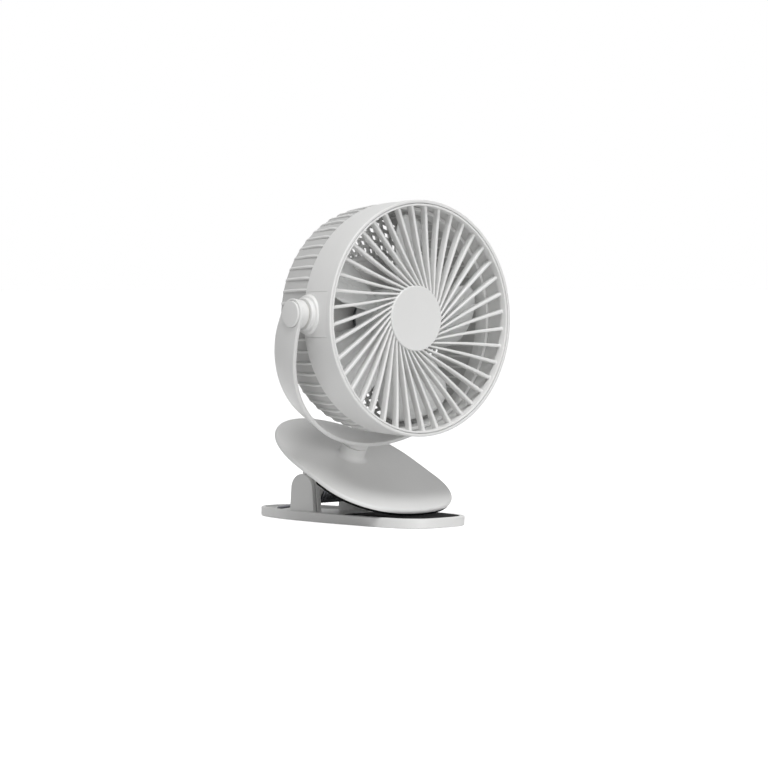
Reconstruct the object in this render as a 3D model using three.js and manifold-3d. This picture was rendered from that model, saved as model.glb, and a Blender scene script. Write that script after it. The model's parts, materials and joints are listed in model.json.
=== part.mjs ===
// A clip-on fan: a round caged head that tilts in a yoke, on a sprung clip that is also its foot.
// Sizes are in millimetres. The origin is on the flat underside of the lower jaw, half way along it.
// +X points to the nose of the clip, +Z up, and -Y is left for someone who faces the fan.
import * as THREE from "three";
import { mergeVertices } from "three/addons/utils/BufferGeometryUtils.js";
import Module from "manifold-3d";

const wasm = await Module();
wasm.setup();

// ---- Driving dimensions ----

const gap = 0.3; // clearance between two pieces that seat on each other
const roundness = 24; // facets of a plain round piece
const smallRoundness = 16; // facets of a small or hidden round piece
const fineRoundness = 60; // facets of the large rings of the head

// The lower jaw is an egg-shaped tray, widest near its nose.
const foot = {
  widestAt: 39,
  halfWidth: 30.5,
  noseLength: 44,
  tailLength: 122,
  straight: 0,
  noseRoundness: 3.2,
  tailRoundness: 2.6,
  height: 6.4,
  edge: 1.6,
  rim: 2.8,
  trayDepth: 2,
  trayEnd: 12,
};
const footPad = { start: 14, depth: 1.4, corner: 5, belowRim: 0.05 };

// The hinge: each side has an outer and an inner ear on the tray, and an ear of the upper jaw.
const pin = { x: -24.7, z: 20.5, radius: 2, blindWall: 1.3 };
const ear = { radius: 10.2, rearReach: 11.6, frontReach: 11.5, outerFace: 26, thickness: 2.7, edge: 0.4 };
const earSlot = 1.2;
const innerEarThickness = 3.6;
const jawEar = { thickness: 2.8, radius: 8.5, rearFoot: 17, frontFoot: 13.6 };
const jawRib = { rear: 40, front: 28, depth: 2.4, slope: 2 }; // stiffens the plate in line with each ear
const springSeat = { radius: 6.6, length: 6 };

// The torsion spring lies round the pin, with one leg on the tray and one under the upper jaw.
const spring = { wire: 2.1, radius: 8.7, pitch: 2.62, turns: 10, stepsPerTurn: 8, sides: 5 };
const springLegs = { lower: 38, lowerDrop: 9, upper: 41, upperRise: 22 };

// The upper jaw is an egg-shaped plate. Its own frame starts at the hinge pin.
const jawTilt = 26.01; // degrees, nose down
const plate = {
  widestAt: 16,
  halfWidth: 52,
  noseLength: 43,
  tailLength: 62.7,
  straight: 22,
  noseRoundness: 2.3,
  tailRoundness: 2,
  top: 28,
  thickness: 2.6,
  edge: 1,
};
const jawPad = { start: 30, thickness: 1.2, inset: 1.6 };

// The neck stands on the plate, and the yoke turns in it.
const neck = { at: 8, radius: 8.8, height: 8.5, flare: 3, bossRadius: 9, bossDepth: 2.4 };
const spigotRadius = 5;
const swivelWasher = { radius: 8, thickness: 1 };
const swivelScrew = { radius: 1.5, length: 9, headRadius: 3.2, headHeight: 2 };
const neckCap = { radius: 11, depth: 7.8, floor: 1.5, edge: 1 };

// The yoke is a circular strip round the head's centre, closed below and open above.
const headHeight = 100.9; // centre of the head above the plate
const swivel = 5.67; // degrees that the yoke is turned to the left
const yoke = {
  radius: 85.2,
  thickness: 2.77,
  width: 22.3,
  edge: 0.6,
  endRadius: 9.75,
  taperFrom: 23.4,
  steps: 16,
};
const yokeFoot = { radius: 8.8 };
const yokeCollar = { radius: 9.2, end: 80.6, edge: 0.7 };
const capRecess = 1.2;
const pivotCap = { radius: 8.45, proud: 1.2, edge: 0.8 };
const pivotScrew = { radius: 1.8, headRadius: 3.6, headHeight: 2.8, seat: 83.3, tip: 74.5 };
const washer = { radius: 8.2, thickness: 0.6 };

// The head. Lengths along it are from the pivot axis, positive to the front.
const headTilt = 26.99; // degrees that the head is tilted up in the yoke
const band = {
  front: 24,
  rear: -2.65,
  frontRadius: 76,
  rearRadius: 74.9,
  lip: 2.1,
  edge: 1.8,
  wall: 2,
  ledge: 17.6,
  lipDraft: 0.4,
};
const pivotPanel = { front: 19, halfHeight: 14.3 }; // each pivot's own piece of the band
const pivotBoss = { radius: 10.3, coneRadius: 13, coneTop: 77, step: 0.3, root: 0.5, end: 79.4, edge: 0.5 };

// The front grille: forty fins that curl from the hub to the ring.
const grilleRing = { width: 1.4, front: 23.5, edge: 0.4 };
const fins = { count: 40, phase: 0.48, depth: 5, hubWidth: 1.2, rimWidth: 2.4, hubFront: 17.5, rimFront: 20.5 };
const finStations = [26, 34, 48]; // radii between the hub and the rim where a fin is drawn
const finDraft = 0.8; // width of a fin at its rear edge, as a share of its front
const finSwirl = { turn: 30.3, from: 26, power: 1.4 };
const hubPlate = { radius: 21.3, rear: 12.3, front: 14.9 };
const frontCap = { radius: 21, rim: 18.1, dome: 0.9, edge: 0.8 };

// The rear cage: ribs that run back from the band, round the corner and curl in to the pod.
const cage = { ribs: 58, ribWidth: 1.8, spigot: 2.2, spigotFront: 6, flange: 1.9, rimRadius: 74.2 };
const cageRings = { radii: [52], width: 1.3, front: -36.4, rear: -37.6 };
const cageSwirl = 18.62; // degrees that a rib turns on the back
const podSeat = { width: 2.7, front: -34.9, rear: -38.9 };

// The pod on the back holds the motor, the battery and the circuit board.
const pod = { radius: 38, wall: 2, front: -30, rear: -55, flange: 2.6, flangeWidth: 2, edge: 1, facets: 32 };
const cradle = { inner: 24, outer: 25.6, belowCellTop: 2 }; // two ribs that hold the cell and the board
const cover = { thickness: 3.1, edge: 2, spigotDepth: 1.7, spigotWidth: 1.7, underHead: 1.1 };
const motor = { radius: 13, rear: -33.5, front: -10, edge: 0.8, bossRadius: 3.5, bossLength: 1.2, bore: 7 };
const shaft = { radius: 1, rear: -15, front: 9.5 };
const battery = { radius: 9.2, length: 65, height: 5 };
const board = { halfWidth: 26, top: -9, thickness: 1.6, length: 18 };
const socket = { width: 9, height: 3.2, length: 7.8, wall: 0.35, depth: 6.5 };
const tactSwitch = { size: 6, length: 3, plungerRadius: 1.5, plunger: 0.5 };
const button = { radius: 5, height: -17, flange: 1.3, flangeThickness: 0.8, proud: 0.8, travel: 0.5 };
const lens = { radius: 1.5, across: 11, flange: 0.7 };
const coverScrew = { circle: 31, radius: 1.2, headRadius: 2.6, headHeight: 1.3, length: 9, post: 3.6 };

// The impeller.
const hub = { radius: 19.5, wall: 1.9, front: 10.2, rear: -20, web: 0, bossRadius: 4.5, bossRear: -7 };
const hubNose = { flatRadius: 11.7, shoulderRadius: 16.6, shoulderDepth: 1.2, depth: 3.7 };
const blades = { count: 5, phase: 3.5, tip: 67.8, middle: -7, thickness: 1.5 };

// ---- Solids ----

// Turns a closed geometry into a solid whose faces point out.
function solid(geometry) {
  geometry.deleteAttribute("normal");
  geometry.deleteAttribute("uv");
  const merged = mergeVertices(geometry, 1e-4);
  const corners = merged.index.array;
  const faces = [];
  for (let i = 0; i < corners.length; i += 3) {
    const [a, b, c] = corners.slice(i, i + 3);
    if (a !== b && b !== c && c !== a) faces.push([a, b, c]);
  }
  const make = (list) =>
    new wasm.Manifold(
      new wasm.Mesh({
        numProp: 3,
        vertProperties: merged.attributes.position.array,
        triVerts: new Uint32Array(list.flat()),
      }),
    );
  const made = make(faces);
  return made.volume() > 0 ? made : make(faces.map(([a, b, c]) => [a, c, b]));
}

// A profile's plane and the direction in which it is drawn out, for each axis.
const unitX = new THREE.Vector3(1, 0, 0);
const unitY = new THREE.Vector3(0, 1, 0);
const unitZ = new THREE.Vector3(0, 0, 1);
const drawnAlong = { x: [unitY, unitZ, unitX], y: [unitX, unitZ, unitY], z: [unitX, unitY, unitZ] };

function laid(geometry, axis, at = [0, 0, 0]) {
  geometry.applyMatrix4(new THREE.Matrix4().makeBasis(...drawnAlong[axis]));
  geometry.translate(...at);
  return solid(geometry);
}

// An outline drawn out along an axis, with its edges rounded if asked.
function prism(outline, axis, from, to, edge = 0) {
  const geometry = new THREE.ExtrudeGeometry(outline, {
    depth: Math.abs(to - from) - 2 * edge,
    bevelEnabled: edge > 0,
    bevelThickness: edge,
    bevelSize: edge,
    bevelOffset: -edge,
    bevelSegments: edge > 1 ? 2 : 1,
    curveSegments: 6,
    steps: 1,
  });
  geometry.translate(0, 0, Math.min(from, to) + edge);
  return laid(geometry, axis);
}

// A half section turned about an axis. Each point is [place along the axis, radius].
function turned(section, axis, facets = roundness, at = [0, 0, 0]) {
  const profile = section.map(([along, radius]) => new THREE.Vector2(radius, along));
  const meetsAxis = profile[0].x === 0 && profile.at(-1).x === 0;
  if (!meetsAxis) profile.push(profile[0].clone());
  const geometry = new THREE.LatheGeometry(profile, facets);
  geometry.rotateX(Math.PI / 2);
  return laid(geometry, axis, at);
}

function rod(axis, from, to, radius, facets = smallRoundness, at = [0, 0, 0]) {
  return turned([[from, 0], [from, radius], [to, radius], [to, 0]], axis, facets, at);
}

function tube(axis, from, to, inner, outer, facets = roundness, at = [0, 0, 0]) {
  return turned([[from, inner], [from, outer], [to, outer], [to, inner]], axis, facets, at);
}

function block([x0, x1], [y0, y1], [z0, z1]) {
  const geometry = new THREE.BoxGeometry(Math.abs(x1 - x0), Math.abs(y1 - y0), Math.abs(z1 - z0));
  geometry.translate((x0 + x1) / 2, (y0 + y1) / 2, (z0 + z1) / 2);
  return solid(geometry);
}

// Joins loops of points into one skin. Each loop runs out along one side and back along the other.
function lofted(loops) {
  const count = loops[0].length;
  const index = [];
  for (let loop = 0; loop + 1 < loops.length; loop++) {
    for (let i = 0; i < count; i++) {
      const here = loop * count + i;
      const next = loop * count + ((i + 1) % count);
      index.push(here, next, next + count, here, next + count, here + count);
    }
  }
  const last = (loops.length - 1) * count;
  for (let i = 0; i + 1 < count / 2; i++) {
    const facing = count - 1 - i;
    index.push(i, facing, i + 1, i + 1, facing, facing - 1);
    index.push(last + i, last + i + 1, last + facing, last + i + 1, last + facing - 1, last + facing);
  }
  const geometry = new THREE.BufferGeometry().setFromPoints(loops.flat());
  geometry.setIndex(index);
  return solid(geometry);
}

const join = (first, ...others) => others.reduce((all, next) => all.add(next), first);
const cut = (first, ...others) => others.reduce((all, next) => all.subtract(next), first);
const radians = (angle) => (angle * Math.PI) / 180;
const sides = { left: -1, right: 1 };

// A point of the head, by its place along the head, its radius and its angle seen from the front.
function onHead(along, radius, angle) {
  return new THREE.Vector3(along, radius * Math.cos(angle), radius * Math.sin(angle));
}

// An egg-shaped outline: one superellipse towards the nose and one towards the tail.
function egg(shape, inset = 0, steps = 8) {
  const points = [];
  for (let i = 0; i < 4 * steps; i++) {
    const angle = (i / (4 * steps)) * 2 * Math.PI;
    const along = Math.cos(angle);
    const across = Math.sin(angle);
    const isNose = along > 1e-9;
    const power = 2 / (isNose ? shape.noseRoundness : shape.tailRoundness);
    const reach = (isNose ? shape.noseLength : shape.tailLength) - inset;
    const middle = shape.widestAt + (isNose ? shape.straight : 0);
    points.push(
      new THREE.Vector2(
        middle + Math.sign(along) * Math.abs(along) ** power * reach,
        Math.sign(across) * Math.abs(across) ** power * (shape.halfWidth - inset),
      ),
    );
  }
  return new THREE.Shape(points);
}

function roundedBox(x0, x1, halfWidth, corner) {
  const outline = new THREE.Shape();
  outline.moveTo(x1, -halfWidth);
  outline.lineTo(x1, halfWidth);
  outline.lineTo(x0 + corner, halfWidth);
  outline.absarc(x0 + corner, halfWidth - corner, corner, Math.PI / 2, Math.PI, false);
  outline.absarc(x0 + corner, corner - halfWidth, corner, Math.PI, 1.5 * Math.PI, false);
  return outline;
}

// ---- Finishes ----

const whitePlastic = { color: 0xe3e3e1, roughness: 0.45, metalness: 0 };
const innerPlastic = { color: 0xd6d7d6, roughness: 0.55, metalness: 0 };
const bladePlastic = { color: 0xf0f1f0, roughness: 0.35, metalness: 0 };
const blackRubber = { color: 0x1b1b1c, roughness: 0.8, metalness: 0 };
const springSteel = { color: 0x55565a, roughness: 0.4, metalness: 1 };
const brightSteel = { color: 0xb9bbbe, roughness: 0.3, metalness: 1 };
const boardGreen = { color: 0x1f5a3a, roughness: 0.5, metalness: 0 };
const cellWrap = { color: 0x2f6f9f, roughness: 0.4, metalness: 0 };
const frostedLens = { color: 0xf4f4f0, roughness: 0.3, metalness: 0 };

function add(group, name, made, finish) {
  const { vertProperties, triVerts } = made.getMesh();
  const geometry = new THREE.BufferGeometry();
  geometry.setAttribute("position", new THREE.BufferAttribute(vertProperties, 3));
  geometry.setIndex(new THREE.BufferAttribute(triVerts, 1));
  geometry.computeVertexNormals();
  const mesh = new THREE.Mesh(geometry, new THREE.MeshStandardMaterial(finish));
  mesh.name = name;
  group.add(mesh);
}

// ---- Clip: lower jaw ----

const trayFloor = foot.height - foot.trayDepth;
const innerEarOuterFace = ear.outerFace - ear.thickness - earSlot;
const innerEarInnerFace = innerEarOuterFace - innerEarThickness;
const pinHole = pin.radius + gap;
const pinHoleEnd = ear.outerFace - pin.blindWall;

function lowerJaw() {
  const inside = egg(foot, foot.rim);
  const upTo = foot.height + 1;
  const farTail = foot.widestAt - foot.tailLength;
  const farNose = foot.widestAt + foot.noseLength;
  const tray = prism(inside, "z", trayFloor, upTo).intersect(
    block([farTail, foot.trayEnd], [-foot.halfWidth, foot.halfWidth], [0, upTo]),
  );
  const padSeat = prism(inside, "z", foot.height - footPad.depth, upTo).intersect(
    prism(roundedBox(footPad.start - gap, farNose, foot.halfWidth, footPad.corner), "z", 0, upTo),
  );
  const profile = new THREE.Shape();
  profile.moveTo(pin.x - ear.rearReach, trayFloor - 1);
  profile.lineTo(pin.x - ear.radius, pin.z);
  profile.absarc(pin.x, pin.z, ear.radius, Math.PI, 0, true);
  profile.lineTo(pin.x + ear.frontReach, trayFloor - 1);
  const ears = Object.values(sides).flatMap((side) => [
    prism(profile, "y", side * (ear.outerFace - ear.thickness), side * ear.outerFace, ear.edge),
    prism(profile, "y", side * innerEarInnerFace, side * innerEarOuterFace),
  ]);
  const bore = rod("y", -pinHoleEnd, pinHoleEnd, pinHole, smallRoundness, [pin.x, 0, pin.z]);
  const body = cut(prism(egg(foot), "z", 0, foot.height, foot.edge), tray, padSeat);
  return cut(join(body, ...ears), bore);
}

function lowerPad() {
  const farNose = foot.widestAt + foot.noseLength;
  const bottom = foot.height - footPad.depth + gap;
  const top = foot.height - footPad.belowRim;
  return prism(egg(foot, foot.rim + gap), "z", bottom, top).intersect(
    prism(roundedBox(footPad.start, farNose, foot.halfWidth - foot.rim - gap, footPad.corner), "z", 0, top),
  );
}

// ---- Clip: torsion spring ----

// The wire's centre line, seen from the pin: up the lower leg, round the turns and along the upper leg.
class SpringLine extends THREE.Curve {
  constructor() {
    super();
    this.arcLengthDivisions = 2000;
    this.startAngle = radians(springLegs.lowerDrop - 90);
    const upperHeading = radians(180 - springLegs.upperRise - jawTilt);
    const endAngle = upperHeading - Math.PI / 2;
    this.sweep = endAngle - this.startAngle + 2 * Math.PI * spring.turns;
    this.coilLength = this.sweep * spring.radius;
    this.total = springLegs.lower + this.coilLength + springLegs.upper;
  }

  getPoint(part, target = new THREE.Vector3()) {
    const along = part * this.total;
    const inCoil = THREE.MathUtils.clamp(along - springLegs.lower, 0, this.coilLength);
    const overrun = along - springLegs.lower - inCoil;
    const angle = this.startAngle + inCoil / spring.radius;
    const across = ((inCoil / this.coilLength - 0.5) * this.sweep * spring.pitch) / (2 * Math.PI);
    return target.set(
      pin.x + spring.radius * Math.cos(angle) - overrun * Math.sin(angle),
      across,
      pin.z + spring.radius * Math.sin(angle) + overrun * Math.cos(angle),
    );
  }
}

const springLine = new SpringLine();

function torsionSpring() {
  const section = new THREE.Shape();
  for (let i = 0; i < spring.sides; i++) {
    const angle = (i / spring.sides) * 2 * Math.PI;
    const point = [(spring.wire / 2) * Math.cos(angle), (spring.wire / 2) * Math.sin(angle)];
    if (i === 0) section.moveTo(...point);
    else section.lineTo(...point);
  }
  const stepLength = (2 * Math.PI * spring.radius) / spring.stepsPerTurn;
  return solid(
    new THREE.ExtrudeGeometry(section, {
      steps: Math.round(springLine.total / stepLength),
      extrudePath: springLine,
      bevelEnabled: false,
    }),
  );
}

// The least distance between two turns of the wire, measured on points along its centre line.
function springGap() {
  const count = 900;
  const points = springLine.getSpacedPoints(count);
  const apart = Math.ceil((4 * spring.wire * count) / springLine.total);
  let least = Infinity;
  for (let i = 0; i < points.length; i++) {
    for (let j = i + apart; j < points.length; j++) least = Math.min(least, points[i].distanceTo(points[j]));
  }
  return least - spring.wire;
}

// ---- Clip: upper jaw, in a frame at the hinge pin ----

const plateUnder = plate.top - plate.thickness;
const neckBase = plateUnder - neck.bossDepth;
const neckTop = plate.top + neck.height;
const jawEarOuterFace = innerEarInnerFace - gap;
const jawEarInnerFace = jawEarOuterFace - jawEar.thickness;

function upperJaw() {
  const profile = new THREE.Shape();
  profile.moveTo(-jawRib.rear, plateUnder + 1);
  profile.lineTo(-jawRib.rear + jawRib.slope, plateUnder - jawRib.depth);
  profile.lineTo(-jawEar.rearFoot, plateUnder - jawRib.depth);
  profile.lineTo(-jawEar.radius, 0);
  profile.absarc(0, 0, jawEar.radius, Math.PI, 2 * Math.PI, false);
  profile.lineTo(jawEar.frontFoot, plateUnder - jawRib.depth);
  profile.lineTo(jawRib.front - jawRib.slope, plateUnder - jawRib.depth);
  profile.lineTo(jawRib.front, plateUnder + 1);
  const seatEnd = jawEarInnerFace - springSeat.length;
  const ears = Object.values(sides).flatMap((side) => [
    prism(profile, "y", side * jawEarInnerFace, side * jawEarOuterFace),
    rod("y", side * seatEnd, side * (jawEarInnerFace + 1), springSeat.radius, roundness),
  ]);
  const flare = [[plateUnder + 1, neck.radius + neck.flare]];
  for (let i = 0; i <= 4; i++) {
    const angle = radians(90 * (i / 4));
    flare.push([
      plate.top + neck.flare * (1 - Math.cos(angle)),
      neck.radius + neck.flare * (1 - Math.sin(angle)),
    ]);
  }
  const post = turned(
    [[plateUnder + 1, 0], ...flare, [neckTop, neck.radius], [neckTop, 0]],
    "z",
    roundness,
    [neck.at, 0, 0],
  );
  const boss = rod("z", neckBase, plateUnder + 1, neck.bossRadius, roundness, [neck.at, 0, 0]);
  const body = join(prism(egg(plate), "z", plateUnder, plate.top, plate.edge), post, boss, ...ears);
  return cut(
    body,
    rod("z", neckBase - 1, neckTop + 1, spigotRadius + gap, roundness, [neck.at, 0, 0]),
    rod("y", -jawEarOuterFace - 1, jawEarOuterFace + 1, pinHole, smallRoundness),
  );
}

function upperPad() {
  const top = plateUnder - gap;
  const outline = prism(egg(plate, jawPad.inset), "z", top - jawPad.thickness, top);
  const farNose = plate.widestAt + plate.straight + plate.noseLength;
  return outline.intersect(
    prism(roundedBox(jawPad.start, farNose, plate.halfWidth, footPad.corner), "z", 0, plate.top),
  );
}

function neckCover() {
  const top = plateUnder - gap;
  const inner = neck.bossRadius + gap;
  const bottom = top - neckCap.depth;
  const section = [
    [bottom, 0],
    [bottom, neckCap.radius - neckCap.edge],
    [bottom + neckCap.edge, neckCap.radius],
    [top, neckCap.radius],
    [top, inner],
    [bottom + neckCap.floor, inner],
    [bottom + neckCap.floor, 0],
  ];
  return turned(section, "z", roundness, [neck.at, 0, 0]);
}

// ---- Yoke, in a frame at the centre of the head with +X along the strip's width ----

const yokeOuter = yoke.radius + yoke.thickness;
const yokeBottom = headHeight - neck.height - gap; // the yoke's foot, below the head's centre
const spigotEnd = plate.top + headHeight - neckBase + gap;
const recessFloor = yokeOuter - capRecess;

function yokeBody() {
  const ends = yoke.endRadius;
  const strip = new THREE.Shape();
  strip.moveTo(yokeOuter, ends);
  strip.lineTo(yoke.radius, ends);
  strip.lineTo(yoke.radius, 0);
  strip.absarc(0, 0, yoke.radius, 0, -Math.PI, true);
  strip.lineTo(-yoke.radius, ends);
  strip.lineTo(-yokeOuter, ends);
  strip.lineTo(-yokeOuter, 0);
  strip.absarc(0, 0, yokeOuter, Math.PI, 2 * Math.PI, false);
  const half = yoke.width / 2;
  const hoop = prism(new THREE.Shape(strip.getPoints(yoke.steps)), "x", -half, half, yoke.edge);
  // Seen from the side, the strip narrows a little and ends in a round pad at each pivot.
  const taperMiddle = 0.6 * yoke.taperFrom;
  const sideView = new THREE.Shape();
  sideView.moveTo(half, -yokeOuter - 1);
  sideView.lineTo(half, -yoke.taperFrom);
  sideView.bezierCurveTo(half, -taperMiddle, ends, -taperMiddle, ends, 0);
  sideView.absarc(0, 0, ends, 0, Math.PI, false);
  sideView.bezierCurveTo(-ends, -taperMiddle, -half, -taperMiddle, -half, -yoke.taperFrom);
  sideView.lineTo(-half, -yokeOuter - 1);
  const arms = hoop.intersect(prism(sideView, "y", -yokeOuter - 1, yokeOuter + 1));
  const post = rod("z", -yokeBottom, -yokeOuter + 1, yokeFoot.radius, roundness);
  const spigot = rod("z", -spigotEnd, -yokeOuter + 1, spigotRadius, roundness);
  const collars = Object.values(sides).map((side) =>
    turned(
      [
        [side * (yoke.radius + 1), 0],
        [side * (yoke.radius + 1), yokeCollar.radius],
        [side * (yokeCollar.end + yokeCollar.edge), yokeCollar.radius],
        [side * yokeCollar.end, yokeCollar.radius - yokeCollar.edge],
        [side * yokeCollar.end, 0],
      ],
      "y",
    ),
  );
  const holes = Object.values(sides).flatMap((side) => [
    rod("y", side * recessFloor, side * (yokeOuter + 1), pivotCap.radius + gap, roundness),
    rod("y", side * pivotScrew.seat, side * (yokeOuter + 1), pivotScrew.headRadius + 2 * gap, smallRoundness),
    rod("y", side * (yokeCollar.end - 1), side * yokeOuter, pivotScrew.radius + gap, smallRoundness),
  ]);
  const pilotEnd = -spigotEnd + swivelScrew.length + 1;
  const pilot = rod("z", -spigotEnd - 1, pilotEnd, swivelScrew.radius + gap, smallRoundness);
  return cut(join(arms, post, spigot, ...collars), pilot, ...holes);
}

function pivotCover(side) {
  const inner = recessFloor + gap;
  const outer = yokeOuter + pivotCap.proud;
  const section = [
    [inner, 0],
    [inner, pivotCap.radius],
    [outer - pivotCap.edge, pivotCap.radius],
    [outer - 0.3 * pivotCap.edge, pivotCap.radius - 0.3 * pivotCap.edge],
    [outer, pivotCap.radius - pivotCap.edge],
    [outer, 0],
  ];
  return turned(section.map(([along, radius]) => [side * along, radius]), "y");
}

function headedScrew(axis, seat, direction, screw, facets = smallRoundness, at = [0, 0, 0]) {
  const head = seat - direction * screw.headHeight;
  const tip = seat + direction * screw.length;
  const section = [[head, 0], [head, screw.headRadius], [seat, screw.headRadius]];
  section.push([seat, screw.radius], [tip, screw.radius], [tip, 0]);
  return turned(section, axis, facets, at);
}

// ---- Head: band, pivots and front grille ----

const bandInner = band.rearRadius - band.wall;
const lipInner = band.frontRadius - band.lip;

function bandRing() {
  const front = [];
  for (let i = 0; i <= 3; i++) {
    const angle = radians(30 * i);
    front.push([
      band.front - band.edge + band.edge * Math.sin(angle),
      band.frontRadius - band.edge + band.edge * Math.cos(angle),
    ]);
  }
  return turned(
    [
      [band.rear, bandInner],
      [band.rear, band.rearRadius],
      ...front,
      [band.front - band.lipDraft, lipInner],
      [band.ledge, lipInner],
      [band.ledge, bandInner],
    ],
    "x",
    fineRoundness,
  );
}

function panelBlock(side, clearance) {
  const depth = [side * (bandInner - 20), side * (band.frontRadius + 1)];
  const height = pivotPanel.halfHeight + clearance;
  return block([band.rear - 1, pivotPanel.front + clearance], depth, [-height, height]);
}

function bossPiece(side, ring) {
  const section = [
    [bandInner + pivotBoss.root, 0],
    [bandInner + pivotBoss.root, pivotBoss.coneRadius],
    [band.rearRadius, pivotBoss.coneRadius],
    [pivotBoss.coneTop, pivotBoss.radius + pivotBoss.step],
    [pivotBoss.coneTop, pivotBoss.radius],
    [pivotBoss.end - pivotBoss.edge, pivotBoss.radius],
    [pivotBoss.end, pivotBoss.radius - pivotBoss.edge],
    [pivotBoss.end, 0],
  ];
  const cone = turned(section.map(([along, radius]) => [side * along, radius]), "y");
  const overCage = rod("x", -2 * pivotBoss.coneRadius, band.rear, band.rearRadius + gap, fineRoundness);
  const holeEnds = [side * (bandInner - 1), side * (pivotBoss.end + 1)];
  const hole = rod("y", ...holeEnds, pivotScrew.radius + gap, smallRoundness);
  return cut(ring.intersect(panelBlock(side, 0)).add(cut(cone, overCage)), hole);
}

const finRoot = 0.7; // how far a fin runs into the hub plate
const finRim = bandInner - 0.4;

function fin(index) {
  const loops = [hubPlate.radius - finRoot, ...finStations, finRim].map((radius) => {
    const share = (radius - frontCap.radius) / (finRim - frontCap.radius);
    const front = THREE.MathUtils.lerp(fins.hubFront, fins.rimFront, share);
    const half = THREE.MathUtils.lerp(fins.hubWidth, fins.rimWidth, share) / 2;
    const swirl = finSwirl.turn * (1 - (finSwirl.from / radius) ** finSwirl.power);
    // The fin leans away from the radius, so it is wider along the circle than across itself.
    const lean = radians(finSwirl.turn) * finSwirl.power * (finSwirl.from / radius) ** finSwirl.power;
    const spread = (half * Math.hypot(1, lean)) / radius;
    const angle = radians(fins.phase + (360 / fins.count) * index + swirl);
    return [
      onHead(front, radius, angle - spread),
      onHead(front, radius, angle + spread),
      onHead(front - fins.depth, radius, angle + spread * finDraft),
      onHead(front - fins.depth, radius, angle - spread * finDraft),
    ];
  });
  return lofted(loops);
}

function frontGrille() {
  const outer = lipInner - gap;
  const inner = outer - grilleRing.width;
  const front = grilleRing.front;
  const ring = turned(
    [
      [band.ledge + gap, inner],
      [band.ledge + gap, outer],
      [front - grilleRing.edge, outer],
      [front, outer - grilleRing.edge],
      [front, inner],
    ],
    "x",
    fineRoundness,
  );
  const plateSolid = rod("x", hubPlate.rear, hubPlate.front, hubPlate.radius, roundness);
  const all = Array.from({ length: fins.count }, (_, index) => fin(index));
  const capSpace = rod("x", hubPlate.front, fins.rimFront + 1, hubPlate.radius, roundness);
  return cut(join(ring, plateSolid, ...all), capSpace);
}

function frontCover() {
  const rear = hubPlate.front + gap;
  const { radius, rim, dome, edge } = frontCap;
  return turned(
    [
      [rear, 0],
      [rear, radius],
      [rim - edge, radius],
      [rim - 0.3 * edge, radius - 0.3 * edge],
      [rim, radius - edge],
      [rim + 0.5 * dome, 0.7 * radius],
      [rim + 0.9 * dome, 0.35 * radius],
      [rim + dome, 0],
    ],
    "x",
  );
}

// ---- Head: rear cage ----

// The outer and inner line of a rib, from the band to the pod: [place along the head, radius].
const ribLine = [
  { outer: [-4, 73.9], inner: [-4, 71] },
  { outer: [-11, 74.5], inner: [-11, 71.4] },
  { outer: [-29, 72.4], inner: [-28.4, 69.4] },
  { outer: [-35, 69.6], inner: [-32.8, 67.4] },
  { outer: [-38, 64.5], inner: [-35.5, 63.5] },
  { outer: [-38.6, 39.5], inner: [-36.1, 39.5] },
];

function cageRib(index) {
  const corner = ribLine[3].outer[1];
  const pitch = (2 * Math.PI) / cage.ribs;
  const loops = ribLine.map(({ outer, inner }) => {
    const curl = Math.max(0, corner - outer[1]) / (corner - pod.radius);
    const angle = pitch * index - radians(cageSwirl) * curl;
    const half = cage.ribWidth / 2;
    return [
      onHead(...outer, angle - half / outer[1]),
      onHead(...outer, angle + half / outer[1]),
      onHead(...inner, angle + half / inner[1]),
      onHead(...inner, angle - half / inner[1]),
    ];
  });
  return lofted(loops);
}

function rearCage() {
  const outer = bandInner - gap;
  const inner = outer - cage.spigot;
  const flangeFront = band.rear - gap;
  const base = turned(
    [
      [cage.spigotFront, inner],
      [cage.spigotFront, outer],
      [flangeFront, outer],
      [flangeFront, cage.rimRadius],
      [flangeFront - cage.flange, cage.rimRadius],
      [flangeFront - cage.flange, inner],
    ],
    "x",
    cage.ribs,
  );
  const hoops = cageRings.radii.map((radius) => {
    const half = cageRings.width / 2;
    return tube("x", cageRings.rear, cageRings.front, radius - half, radius + half, cage.ribs);
  });
  const seat = tube(
    "x",
    podSeat.rear,
    podSeat.front,
    pod.radius + gap,
    pod.radius + gap + podSeat.width,
    cage.ribs,
  );
  const ribs = Array.from({ length: cage.ribs }, (_, index) => cageRib(index));
  return join(base, seat, ...hoops, ...ribs);
}

// ---- Head: pod ----

const podInner = pod.radius - pod.wall;
const coverInner = pod.rear - gap;
const coverOuter = coverInner - cover.thickness;
const screwSeat = coverInner - cover.underHead;
const cellAlong = motor.rear - 1 - battery.radius;
const boardFront = motor.rear - 1;
const boardRear = boardFront - board.length;
const screwAngles = [90, 210, 330];
const screwPlaces = screwAngles.map((angle) => {
  return [coverScrew.circle * Math.cos(radians(angle)), coverScrew.circle * Math.sin(radians(angle))];
});
const socketSlot = {
  y: [-socket.width / 2 - gap, socket.width / 2 + gap],
  z: [board.top, board.top + gap + socket.height + gap],
};

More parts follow.
